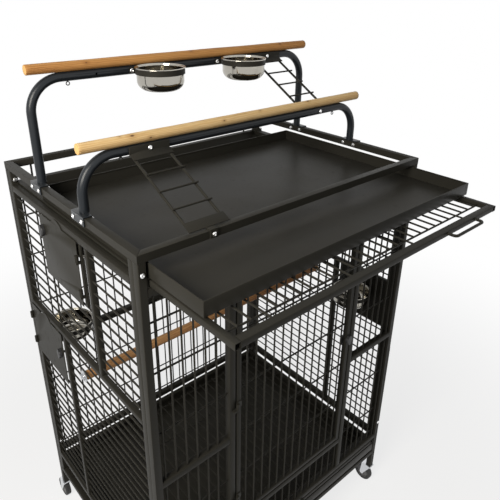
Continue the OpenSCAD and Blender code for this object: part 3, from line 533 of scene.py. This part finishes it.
class Paints:
    """Builds each finish once and puts it on pieces."""

    def __init__(self) -> None:
        """Starts with no finish built."""
        self.built: dict[Finish, bpy.types.Material] = {}

    def get(self, finish: Finish) -> bpy.types.Material:
        """Gives the finish's material, built on first use."""
        if finish not in self.built:
            self.built[finish] = finish.value.build()
        return self.built[finish]

    def dress(self, piece: bpy.types.Object, *finishes: Finish) -> bpy.types.Object:
        """Puts finishes on a piece, one for each material number of its faces.

        Args:
            piece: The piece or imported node.
            finishes: The finishes, in order.

        Returns:
            The piece.
        """
        piece.data.materials.clear()
        for finish in finishes:
            piece.data.materials.append(self.get(finish))
        return piece

    def dress_nodes(self, finish: Finish, names: Iterable[str]) -> None:
        """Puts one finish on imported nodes.

        Args:
            finish: The finish.
            names: The nodes' names.
        """
        for name in names:
            self.dress(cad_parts[name], finish)
            LOG.info("dressed %s", name)


# Mesh making


def merged_copy(node: str) -> bmesh.types.BMesh:
    """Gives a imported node's shape as joined faces.

    Args:
        node: The node's name.

    Returns:
        A mesh with flat faces merged.
    """
    bm = bmesh.new()
    bm.from_mesh(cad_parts[node].data)
    bmesh.ops.remove_doubles(bm, verts=bm.verts, dist=TINY)
    bmesh.ops.dissolve_limit(
        bm, angle_limit=math.radians(FLAT_DEGREES), verts=bm.verts, edges=bm.edges
    )
    return bm


def round_edges(bm: bmesh.types.BMesh, radius: float, shortest: float, segments: int = 2) -> None:
    """Rounds the long outer edges of a mesh.

    Args:
        bm: The mesh.
        radius: The radius, in metres.
        shortest: Edges shorter than this stay sharp.
        segments: The facets of the rounding.
    """
    edges = [
        edge
        for edge in bm.edges
        if edge.is_manifold
        and edge.is_convex
        and edge.calc_length() > shortest
        and edge.calc_face_angle() > math.radians(CORNER_DEGREES)
    ]
    bmesh.ops.bevel(
        bm,
        geom=edges,
        offset=radius,
        offset_type="OFFSET",
        segments=segments,
        profile=0.5,
        affect="EDGES",
        material=-1,
        clamp_overlap=True,
    )


def to_piece(bm: bmesh.types.BMesh, name: str, sharp: float = 38) -> bpy.types.Object:
    """Makes a mesh a smooth piece at the origin.

    Args:
        bm: The mesh, which is freed.
        name: The piece's name.
        sharp: The angle in degrees over which an edge stays sharp.

    Returns:
        The piece.
    """
    mesh = bpy.data.meshes.new(name)
    bm.to_mesh(mesh)
    bm.free()
    mesh.polygons.foreach_set("use_smooth", [True] * len(mesh.polygons))
    mesh.set_sharp_from_angle(angle=math.radians(sharp))
    piece = bpy.data.objects.new(name, mesh)
    bpy.context.scene.collection.objects.link(piece)
    return piece


def spun(profile: Sequence[Point], steps: int, centre: Vector, axis: Axis) -> bmesh.types.BMesh:
    """Turns a closed profile about an axis.

    Args:
        profile: Points as (distance from the axis, height along it), in order round the wall.
        steps: The facets of the turn.
        centre: Where the axis passes at height 0.
        axis: The axis.

    Returns:
        The turned mesh.
    """
    bm = bmesh.new()
    verts = [bm.verts.new((r, 0, h)) for r, h in profile]
    edges = [bm.edges.new(pair) for pair in zip(verts, verts[1:])]
    if profile[0][0] > TINY:
        edges.append(bm.edges.new((verts[-1], verts[0])))
    bmesh.ops.spin(
        bm,
        geom=verts + edges,
        cent=(0, 0, 0),
        axis=(0, 0, 1),
        angle=2 * math.pi,
        steps=steps,
        use_merge=True,
    )
    bmesh.ops.remove_doubles(bm, verts=bm.verts, dist=TINY)
    turn = Vector((0, 0, 1)).rotation_difference(axis.value).to_matrix().to_4x4()
    bmesh.ops.transform(bm, matrix=Matrix.Translation(centre) @ turn, verts=bm.verts)
    bmesh.ops.recalc_face_normals(bm, faces=bm.faces)
    return bm


def arc(cx: float, cz: float, radius: float, start: float, end: float, steps: int) -> list[Point]:
    """Gives points on an arc.

    Args:
        cx: The arc's centre, along the first axis.
        cz: The arc's centre, along the second axis.
        radius: The radius.
        start: The first angle, in degrees.
        end: The last angle, in degrees.
        steps: The number of chords.

    Returns:
        The points, in order.
    """
    angles = [math.radians(start + (end - start) * k / steps) for k in range(steps + 1)]
    return [(cx + radius * math.cos(a), cz + radius * math.sin(a)) for a in angles]


def join(bm: bmesh.types.BMesh, part: bmesh.types.BMesh) -> None:
    """Adds one mesh to another.

    Args:
        bm: The mesh that grows.
        part: The mesh that is added, which is freed.
    """
    mesh = bpy.data.meshes.new("part")
    part.to_mesh(mesh)
    part.free()
    bm.from_mesh(mesh)
    bpy.data.meshes.remove(mesh)


# Sub-assemblies


@dataclass
class RoundedMetal:
    """Square tubes, plates and flats with the rounded edges that drawn tube and cut sheet have."""

    paints: Paints
    tube_radius: float = 0.0016
    plate_radius: float = 0.0006
    shortest_tube: float = 0.0245
    shortest_plate: float = 0.012
    tubes: dict[str, str] = field(
        default_factory=lambda: {
            **{f"post_{corner}": "cage" for corner in CORNERS},
            "base_frame": "cage",
            "top_frame": "cage",
            "side_panel_left": "cage",
            "side_panel_right": "cage",
            "back_panel": "cage",
            "front_panel": "cage",
            "front_door": "front_door",
            "roof_grille": "roof_grille",
            "floor_grille": "floor_grille",
        }
    )
    plates: dict[str, str] = field(
        default_factory=lambda: {
            "front_arch": "cage",
            "rear_arch": "cage",
            "front_ladder": "cage",
            "rear_ladder": "cage",
            **{f"feeder_door_{feeder}": f"feeder_door_{feeder}" for feeder in FEEDERS},
        }
    )

    def build(self) -> None:
        """Builds every rounded piece."""
        for node, body in self.tubes.items():
            self._rounded(node, body, self.tube_radius, self.shortest_tube, Finish.PAINT)
        for node, body in self.plates.items():
            # The arches take the darker, bluish copy of the coat, which holds a painted reflection.
            finish = Finish.ARCH if node.endswith("arch") else Finish.PAINT
            self._rounded(node, body, self.plate_radius, self.shortest_plate, finish)

    def _rounded(
        self, node: str, body: str, radius: float, shortest: float, finish: Finish
    ) -> None:
        """Builds one rounded piece.

        Args:
            node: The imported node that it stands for.
            body: The body that carries it.
            radius: The radius of its long edges.
            shortest: Edges shorter than this stay sharp.
            finish: Its finish.
        """
        bm = merged_copy(node)
        round_edges(bm, radius, shortest)
        piece = self.paints.dress(to_piece(bm, f"{node}_rounded"), finish)
        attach(piece, body)
        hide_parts(node)
        LOG.info("%s: %d faces", piece.name, len(piece.data.polygons))


@dataclass
class FoldedTray:
    """A tray folded from sheet, with a rolled hem and rounded corners."""

    paints: Paints
    node: str
    body: str
    hem_radius: float = 0.0013
    hem_facets: int = 3
    shortest: float = 0.02

    def build(self) -> None:
        """Builds the tray."""
        bm = merged_copy(self.node)
        round_edges(bm, self.hem_radius, self.shortest, self.hem_facets)
        piece = self.paints.dress(to_piece(bm, f"{self.node}_folded"), Finish.SHEET)
        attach(piece, self.body)
        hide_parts(self.node)
        LOG.info("%s: %d faces", piece.name, len(piece.data.polygons))


@dataclass
class Perch:
    """A slightly uneven turned perch with broken edges at its ends."""

    paints: Paints
    node: str
    finish: Finish
    slot: str
    flat: bool = True
    rounds: int = 40
    lengths: int = 120
    unevenness: float = 0.0007
    swells: tuple[float, float] = (7, 18)
    ripples: tuple[float, float] = (30, 50)
    ripple_share: float = 0.2
    end_radius: float = 0.0022

    def build(self) -> None:
        """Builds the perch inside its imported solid's box."""
        low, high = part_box(self.node)
        radius = (high.y - low.y) / 2
        length = high.x - low.x
        bm = bmesh.new()
        bmesh.ops.create_cone(
            bm,
            cap_ends=True,
            segments=self.rounds,
            radius1=radius,
            radius2=radius,
            depth=length,
            matrix=Matrix.Rotation(math.pi / 2, 4, "Y"),
        )
        rims = [edge for edge in bm.edges if abs(edge.verts[0].co.x - edge.verts[1].co.x) < TINY]
        bmesh.ops.bevel(
            bm,
            geom=rims,
            offset=self.end_radius,
            offset_type="OFFSET",
            segments=3,
            profile=0.5,
            affect="EDGES",
            material=-1,
        )
        sides = [
            edge
            for edge in bm.edges
            if abs(edge.verts[0].co.x - edge.verts[1].co.x) > length / 2
        ]
        bmesh.ops.subdivide_edges(bm, edges=sides, cuts=self.lengths, use_grid_fill=True)
        for vert in bm.verts:
            swell = self._wave(vert.co, self.swells, low * 9) * self.unevenness
            ripple = self._wave(vert.co, self.ripples, low * 5) * self.ripple_share
            share = 1 - swell / radius - ripple * self.unevenness / radius
            vert.co.y *= share
            vert.co.z *= share
        middle = ((low.x + high.x) / 2, (low.y + high.y) / 2, high.z - radius)
        bmesh.ops.translate(bm, vec=middle, verts=bm.verts)
        if self.flat:
            cut = bmesh.ops.bisect_plane(
                bm,
                geom=bm.verts[:] + bm.edges[:] + bm.faces[:],
                plane_co=(0, 0, low.z),
                plane_no=(0, 0, -1),
                clear_outer=True,
            )
            bmesh.ops.holes_fill(
                bm, edges=[item for item in cut["geom_cut"] if isinstance(item, bmesh.types.BMEdge)]
            )
        bmesh.ops.recalc_face_normals(bm, faces=bm.faces)
        piece = self.paints.dress(to_piece(bm, f"{self.node}_turned", 50), self.finish)
        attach(piece, "cage")
        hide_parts(self.node)
        LOG.info("%s: %d faces", piece.name, len(piece.data.polygons))

    @staticmethod
    def _wave(point: Vector, repeats: tuple[float, float], shift: Vector) -> float:
        """Gives a slow random wave over the perch.

        Args:
            point: The point on the perch.
            repeats: How often the wave changes in a metre, along the perch and across it.
            shift: Where in the noise this perch lies.

        Returns:
            The wave, from 0 to 2.
        """
        along, across = repeats
        place = Vector((point.x * along, point.y * across, point.z * across))
        return 1 + noise.noise(place + shift)


@dataclass
class SpunBowl:
    """A spun steel bowl with a rolled rim and a wide round foot."""

    paints: Paints
    node: str
    wall_radius: float = 0.0645
    wall: float = 0.0008
    foot_radius: float = 0.026
    bead: float = 0.0017
    neck_radius: float = 0.0022
    neck_drop: float = 0.0058
    outer_neck_end: float = 0.006
    inner_neck_end: float = 0.0075
    straight_share: float = 0.72
    base_raise: float = 0.0012
    base_share: float = 0.40
    base_rim_share: float = 0.44
    steps: int = 96
    sharp: float = 50

    def build(self) -> None:
        """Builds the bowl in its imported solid's place."""
        low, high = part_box(self.node)
        rim = (high.x - low.x) / 2
        height = high.z - low.z
        outer, wall, foot = self.wall_radius, self.wall, self.foot_radius
        inner, straight, raised = outer - wall, height * self.straight_share, self.base_raise
        base, base_rim = outer * self.base_share, outer * self.base_rim_share
        neck, neck_x, neck_z = self.neck_radius, outer + self.neck_radius, height - self.neck_drop
        profile = [(0.0, raised), (base, raised), (base_rim, 0.0)]
        profile += arc(outer - foot, foot, foot, -90, 0, 12)
        profile += [(outer, straight), (outer, height - self.outer_neck_end)]
        profile += arc(neck_x, neck_z, neck, 180, 100, 5)
        profile += arc(rim - self.bead, height - self.bead, self.bead, 230, 500, 14)
        profile += arc(neck_x, neck_z, neck + wall, 110, 180, 5)
        profile += [(inner, height - self.inner_neck_end), (inner, straight)]
        profile += arc(outer - foot, foot, foot - wall, 0, -90, 12)
        profile += [(base_rim, wall), (base, raised + wall), (0.0, raised + wall)]
        centre = Vector(((low.x + high.x) / 2, (low.y + high.y) / 2, low.z))
        bowl = spun(profile, self.steps, centre, Axis.Z)
        piece = to_piece(bowl, f"{self.node}_spun", self.sharp)
        # The bowl's darker, warmer steel tone is a painted reflection.
        self.paints.dress(piece, Finish.BOWL)
        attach(piece, self.node)
        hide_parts(self.node)
        LOG.info("%s: %d faces", piece.name, len(piece.data.polygons))


@dataclass
class DomedBolts:
    """Bolts with domed heads that have a round recess, and bevelled nuts."""

    paints: Paints
    node: str
    head_radius: float = 0.0058
    head_height: float = 0.0034
    head_rim: float = 0.0009
    recess_radius: float = 0.0024
    recess_depth: float = 0.0019
    longest_nut: float = 0.016
    chamfer: float = 0.0004
    shortest: float = 0.003
    dome_degrees: tuple[float, ...] = (30, 42, 54, 66, 78, 90)
    steps: int = 24
    sharp: float = 42

    def build(self) -> None:
        """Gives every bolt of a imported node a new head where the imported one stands."""
        bm = merged_copy(self.node)
        round_edges(bm, self.chamfer, self.shortest)
        heads = [self._behead(bm, verts) for verts in self._solids(bm) if self._is_bolt(verts)]
        bmesh.ops.holes_fill(bm, edges=[edge for edge in bm.edges if edge.is_boundary])
        for centre, axis, side in heads:
            self._add_head(bm, centre, axis, side)
        piece = to_piece(bm, f"{self.node}_domed", self.sharp)
        # The second finish is the painted shade in the head recesses.
        self.paints.dress(piece, Finish.BOLT, Finish.RECESS_SHADE)
        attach(piece, "cage")
        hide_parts(self.node)
        LOG.info("%s: %d heads", piece.name, len(heads))

    @staticmethod
    def _solids(bm: bmesh.types.BMesh) -> list[list[bmesh.types.BMVert]]:
        """Sorts a mesh's corners into its separate solids."""
        left, solids = set(bm.verts), []
        while left:
            reach = [left.pop()]
            for vert in reach:
                near = {edge.other_vert(vert) for edge in vert.link_edges} & left
                left -= near
                reach.extend(near)
            solids.append(reach)
        return solids

    @staticmethod
    def _extent(verts: Sequence[bmesh.types.BMVert]) -> Vector:
        """Gives the size of a solid's box."""
        return Vector([max(v.co[k] for v in verts) - min(v.co[k] for v in verts) for k in range(3)])

    def _is_bolt(self, verts: Sequence[bmesh.types.BMVert]) -> bool:
        """Tells a bolt from a nut by its length."""
        return max(self._extent(verts)) > self.longest_nut

    def _behead(
        self, bm: bmesh.types.BMesh, verts: Sequence[bmesh.types.BMVert]
    ) -> tuple[Vector, Axis, float]:
        """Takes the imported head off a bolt.

        Args:
            bm: The mesh that holds the bolt.
            verts: The bolt's corners.

        Returns:
            Where the head sat, its axis, and 1 or -1 for the way it points along that axis.
        """
        extent = self._extent(verts)
        along = max(range(3), key=lambda k: extent[k])
        across = [k for k in range(3) if k != along]
        sums = [max(v.co[k] for v in verts) + min(v.co[k] for v in verts) for k in range(3)]
        centre = Vector([total / 2 for total in sums])
        widest = max(verts, key=lambda v: sum((v.co[k] - centre[k]) ** 2 for k in across))
        side = 1.0 if widest.co[along] > centre[along] else -1.0
        centre[along] = widest.co[along]
        faces = {face for vert in verts for face in vert.link_faces}
        head = [
            face
            for face in faces
            if all((v.co[along] - centre[along]) * side > -NEAR for v in face.verts)
        ]
        bmesh.ops.delete(bm, geom=head, context="FACES")
        return centre, list(Axis)[along], side

    def _add_head(self, bm: bmesh.types.BMesh, centre: Vector, axis: Axis, side: float) -> None:
        """Adds a domed head with a recess.

        Args:
            bm: The mesh that it joins.
            centre: Where it sits.
            axis: Its axis.
            side: 1 or -1 for the way it points.
        """
        top, rim = self.head_height, self.head_rim
        floor = top - self.recess_depth
        dome = [
            (self.head_radius * math.sin(a), rim + (top - rim) * math.cos(a))
            for a in (math.radians(angle) for angle in self.dome_degrees)
        ]
        profile = [(0.0, floor), (self.recess_radius, floor), (self.recess_radius, dome[0][1])]
        profile += dome + [(self.head_radius, 0.0), (0.0, 0.0)]
        head = spun([(r, side * h) for r, h in profile], self.steps, centre, axis)
        # The faces inside the recess get the second finish, which is painted shade.
        for face in head.faces:
            offsets = [v.co - centre for v in face.verts]
            spread = [offset - axis.value * offset.dot(axis.value) for offset in offsets]
            if max(offset.length for offset in spread) < self.recess_radius + NEAR:
                face.material_index = 1
        join(bm, head)


@dataclass
class LobedLatch:
    """A turning latch with a round black knob that is held by a bright screw."""

    paints: Paints
    node: str
    axis: Axis
    knob_radius: float = 0.0125
    knob_depth: float = 0.0096
    edge: float = 0.0022
    recess_edge: float = 0.001
    recess_lip: float = 0.0016
    screw_radius: float = 0.0030
    screw_flat: float = 0.7
    screw_sunk: float = 0.0006
    screw_depth: float = 0.003
    lobe_radius: float = 0.0015
    shortest: float = 0.009
    steps: int = 36

    def build(self) -> None:
        """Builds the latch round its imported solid."""
        bm = merged_copy(self.node)
        round_edges(bm, self.lobe_radius, self.shortest)
        low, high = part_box(self.node)
        across = self.axis.value
        middle = Vector((low + high) / 2).dot(across)
        side = 1.0 if middle > 0 else -1.0
        face = max(vert.co.dot(across) * side for vert in bm.verts)
        outer = [vert.co for vert in bm.verts if vert.co.dot(across) * side > face - NEAR]
        centre = sum(outer, Vector()) / len(outer)
        depth, radius, edge = self.knob_depth, self.knob_radius, self.edge
        hole, sunk = self.screw_radius, self.screw_sunk
        knob = [(0.0, -sunk * 2), (hole + self.recess_edge, -sunk * 2)]
        knob += [(hole + self.recess_lip, -sunk)]
        knob += arc(radius - edge, -edge - sunk, edge, 90, 0, 5)
        knob += [(radius, -depth), (0.0, -depth)]
        screw = [(0.0, 0.0), (hole * self.screw_flat, 0.0), (hole, -sunk)]
        screw += [(hole, -self.screw_depth), (0.0, -self.screw_depth)]
        for profile, number in ((knob, 0), (screw, 1)):
            part = spun([(r, side * h) for r, h in profile], self.steps, centre, self.axis)
            for facet in part.faces:
                facet.material_index = number
            join(bm, part)
        piece = self.paints.dress(to_piece(bm, f"{self.node}_lobed"), Finish.PLASTIC, Finish.BOLT)
        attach(piece, self.node)
        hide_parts(self.node)
        LOG.info("%s: %d faces", piece.name, len(piece.data.polygons))


@dataclass
class CastorWheel:
    """A castor wheel with a rounded tyre, a dished hub and a bearing boss.

    The web and the rim are points of the hub, as shares of its radius and its half width.
    """

    paints: Paints
    name: str
    hub_share: float = 0.70
    shoulder: float = 0.004
    bore_radius: float = 0.0034
    boss_radius: float = 0.0085
    boss_foot: float = 0.0095
    overlap: float = 0.001
    lip: float = 0.0015
    gap: float = 0.0012
    tyre_edge: float = 0.9
    boss_slope: float = 0.78
    web: Point = (0.86, 0.62)
    rim: Point = (0.92, 0.93)
    tyre_steps: int = 72
    hub_steps: int = 60

    def build(self) -> None:
        """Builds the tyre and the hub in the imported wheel's place."""
        low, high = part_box(self.name)
        centre = (low + high) / 2
        radius, half = (high.z - low.z) / 2, (high.x - low.x) / 2
        hub = radius * self.hub_share
        tyre = [(hub - self.overlap, -half * self.tyre_edge), (hub + self.lip, -half)]
        tyre += arc(radius - self.shoulder, -half + self.shoulder, self.shoulder, -90, 0, 5)
        tyre += [(radius, 0.0)]
        tyre += arc(radius - self.shoulder, half - self.shoulder, self.shoulder, 0, 90, 5)
        tyre += [(hub + self.lip, half), (hub - self.overlap, half * self.tyre_edge)]
        rubber = to_piece(spun(tyre, self.tyre_steps, centre, Axis.X), f"{self.name}_tyre")
        self.paints.dress(rubber, Finish.RUBBER)
        disc = [(self.bore_radius, -half), (self.boss_radius, -half)]
        disc += [(self.boss_foot, -half * self.boss_slope)]
        disc += [(hub * share, -half * depth) for share, depth in (self.web, self.rim)]
        disc += [(hub - self.gap, -half * self.rim[1])]
        disc += [(r, -h) for r, h in reversed(disc)]
        plastic = to_piece(spun(disc, self.hub_steps, centre, Axis.X), f"{self.name}_hub")
        self.paints.dress(plastic, Finish.HUB)
        for piece in (rubber, plastic):
            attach(piece, self.name)
        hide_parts(self.name)
        LOG.info("%s: tyre and hub", self.name)


@dataclass(frozen=True)
class Lamp:
    """A soft lamp: where it hangs and aims, its width and height, its watts and its colour."""

    name: str
    place: Sequence[float]
    aim: Sequence[float]
    size: tuple[float, float]
    power: float
    colour: Sequence[float]

    def hang(self) -> None:
        """Hangs the lamp."""
        data = bpy.data.lights.new(self.name, "AREA")
        data.shape = "RECTANGLE"
        data.size, data.size_y = self.size
        data.energy = self.power
        data.color = self.colour
        lamp = bpy.data.objects.new(self.name, data)
        lamp.location = self.place
        reach = Vector(self.aim) - Vector(self.place)
        lamp.rotation_euler = reach.to_track_quat("-Z", "Y").to_euler()
        bpy.context.scene.collection.objects.link(lamp)


@dataclass
class Studio:
    """A pale floor, soft lamps and the camera."""

    focal: float = 38.03
    drop: float = -0.07
    eye: Vector = field(default_factory=lambda: Vector((-0.9427, -1.2141, 1.9229)))
    yaw: float = 41.68
    pitch: float = 24.10
    roll: float = 0.86
    ambient: float = 0.12
    near_glow: float = 0.78
    lamps: tuple[Lamp, ...] = (
        Lamp("key_lamp", (-1.9, -0.8, 2.25), (0, 0, 1.2), (1.0, 1.0), 54, (1.0, 0.95, 0.86)),
        Lamp("front_lamp", (1.2, -3.4, 1.9), (0, 0, 0.9), (2.4, 1.6), 5, (1.0, 0.99, 0.97)),
        Lamp("top_lamp", (0.2, 0.6, 4.0), (0, 0, 1.4), (2.2, 2.2), 4, (0.90, 0.95, 1.0)),
    )

    def build(self) -> None:
        """Builds the studio."""
        self._camera()
        self._floor()
        self._world()
        for lamp in self.lamps:
            lamp.hang()

    def _camera(self) -> None:
        """Stands the camera where the photograph was taken from."""
        yaw, pitch, roll = (math.radians(a) for a in (self.yaw, self.pitch, self.roll))
        forward = Vector(
            (math.sin(yaw) * math.cos(pitch), math.cos(yaw) * math.cos(pitch), -math.sin(pitch))
        )
        right = Vector((math.cos(yaw), -math.sin(yaw), 0))
        up = right.cross(forward)
        right, up = (
            right * math.cos(roll) + up * math.sin(roll),
            up * math.cos(roll) - right * math.sin(roll),
        )
        turn = Matrix((right, up, -forward)).transposed().to_4x4()
        data = bpy.data.cameras.new("camera")
        data.sensor_width = 36
        data.lens = self.focal
        data.shift_y = self.drop
        data.clip_end = 60
        camera = bpy.data.objects.new("camera", data)
        camera.matrix_world = Matrix.Translation(self.eye) @ turn
        bpy.context.scene.collection.objects.link(camera)
        bpy.context.scene.camera = camera

    def _floor(self) -> None:
        """Lays a wide pale floor that keeps the cage's shadow."""
        bm = bmesh.new()
        bmesh.ops.create_grid(bm, x_segments=2, y_segments=2, size=14)
        floor = to_piece(bm, "floor")
        g = Graph("pale_floor")
        mottle = g.noise(g.place(), 1.5, 2)
        tone = g.mix(mottle, grey(0.86), grey(0.90))
        surface = g.node("ShaderNodeBsdfDiffuse", None, {"Color": tone})
        glow = g.node("ShaderNodeEmission", None, {"Color": grey(1.0), "Strength": 1.0})
        away = g.node("ShaderNodeVectorMath", {"operation": "LENGTH"}, {0: g.place()}, "Value")
        camera, glossy, through = (g.node("ShaderNodeLightPath", output=ray) for ray in SEEN_RAYS)
        glow_share = self.near_glow + away.band(0.8, 2.8) * (1 - self.near_glow)
        share = (camera + glossy + through) * glow_share
        lit = g.node("ShaderNodeMixShader", None, {0: share, 1: surface, 2: glow})
        g.node("ShaderNodeOutputMaterial", None, {"Surface": lit})
        floor.data.materials.append(g.material)

    def _world(self) -> None:
        """Gives the room an even pale light, and a white background to the camera."""
        world = bpy.data.worlds.new("studio")
        world.use_nodes = True
        tree = world.node_tree
        back = tree.nodes["Background"]
        back.inputs["Color"].default_value = grey(1.0)
        path = tree.nodes.new("ShaderNodeLightPath")
        camera, glossy, through = (Value(tree, path.outputs[ray]) for ray in SEEN_RAYS)
        strength = (camera + glossy + through) * (1 - self.ambient) + self.ambient
        tree.links.new(strength.socket, back.inputs["Strength"])
        bpy.context.scene.world = world


PAINTED_NODES = (
    "side_bars_left",
    "side_bars_right",
    "back_bars",
    "front_bars",
    "tray_runners",
    "bowl_rings",
    "toy_hooks",
    "feeder_hinges",
    "door_hinges",
    "grille_handle",
    "front_door_bars",
)
LATCH_NODES = ("door_latch",) + tuple(f"feeder_latch_{feeder}" for feeder in FEEDERS)
BOWL_NODES = ("play_bowl_left", "play_bowl_right") + tuple(
    f"feeder_bowl_{feeder}" for feeder in FEEDERS
)


def main() -> None:
    """Builds and dresses every piece, then lights the cage."""
    logging.basicConfig(level=logging.INFO, format="%(name)s: %(message)s")
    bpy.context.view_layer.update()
    paints = Paints()
    paints.dress_nodes(Finish.PAINT, PAINTED_NODES)
    paints.dress_nodes(Finish.PLASTIC, ("caster_sockets",))
    paints.dress_nodes(Finish.CASTOR, ("perch_fixings",))
    paints.dress_nodes(Finish.CASTOR, [f"caster_{corner}" for corner in CORNERS])
    RoundedMetal(paints).build()
    for bolts in ("arch_bolts", "frame_bolts"):
        DomedBolts(paints, bolts).build()
    for latch in LATCH_NODES:
        LobedLatch(paints, latch, Axis.Y if latch.startswith("door") else Axis.X).build()
    for body in ("play_tray", "floor_tray"):
        FoldedTray(paints, body, body).build()
    Perch(paints, "front_perch", Finish.FRONT_PERCH, "play_perch_wood").build()
    Perch(paints, "rear_perch", Finish.REAR_PERCH, "play_perch_wood").build()
    Perch(paints, "inner_perch", Finish.INNER_PERCH, "inner_perch_wood", flat=False).build()
    for bowl in BOWL_NODES:
        SpunBowl(paints, bowl).build()
    for corner in CORNERS:
        CastorWheel(paints, f"wheel_{corner}").build()
    Studio().build()
    bpy.context.scene.view_settings.view_transform = "Standard"


if __name__ == "__main__":
    main()
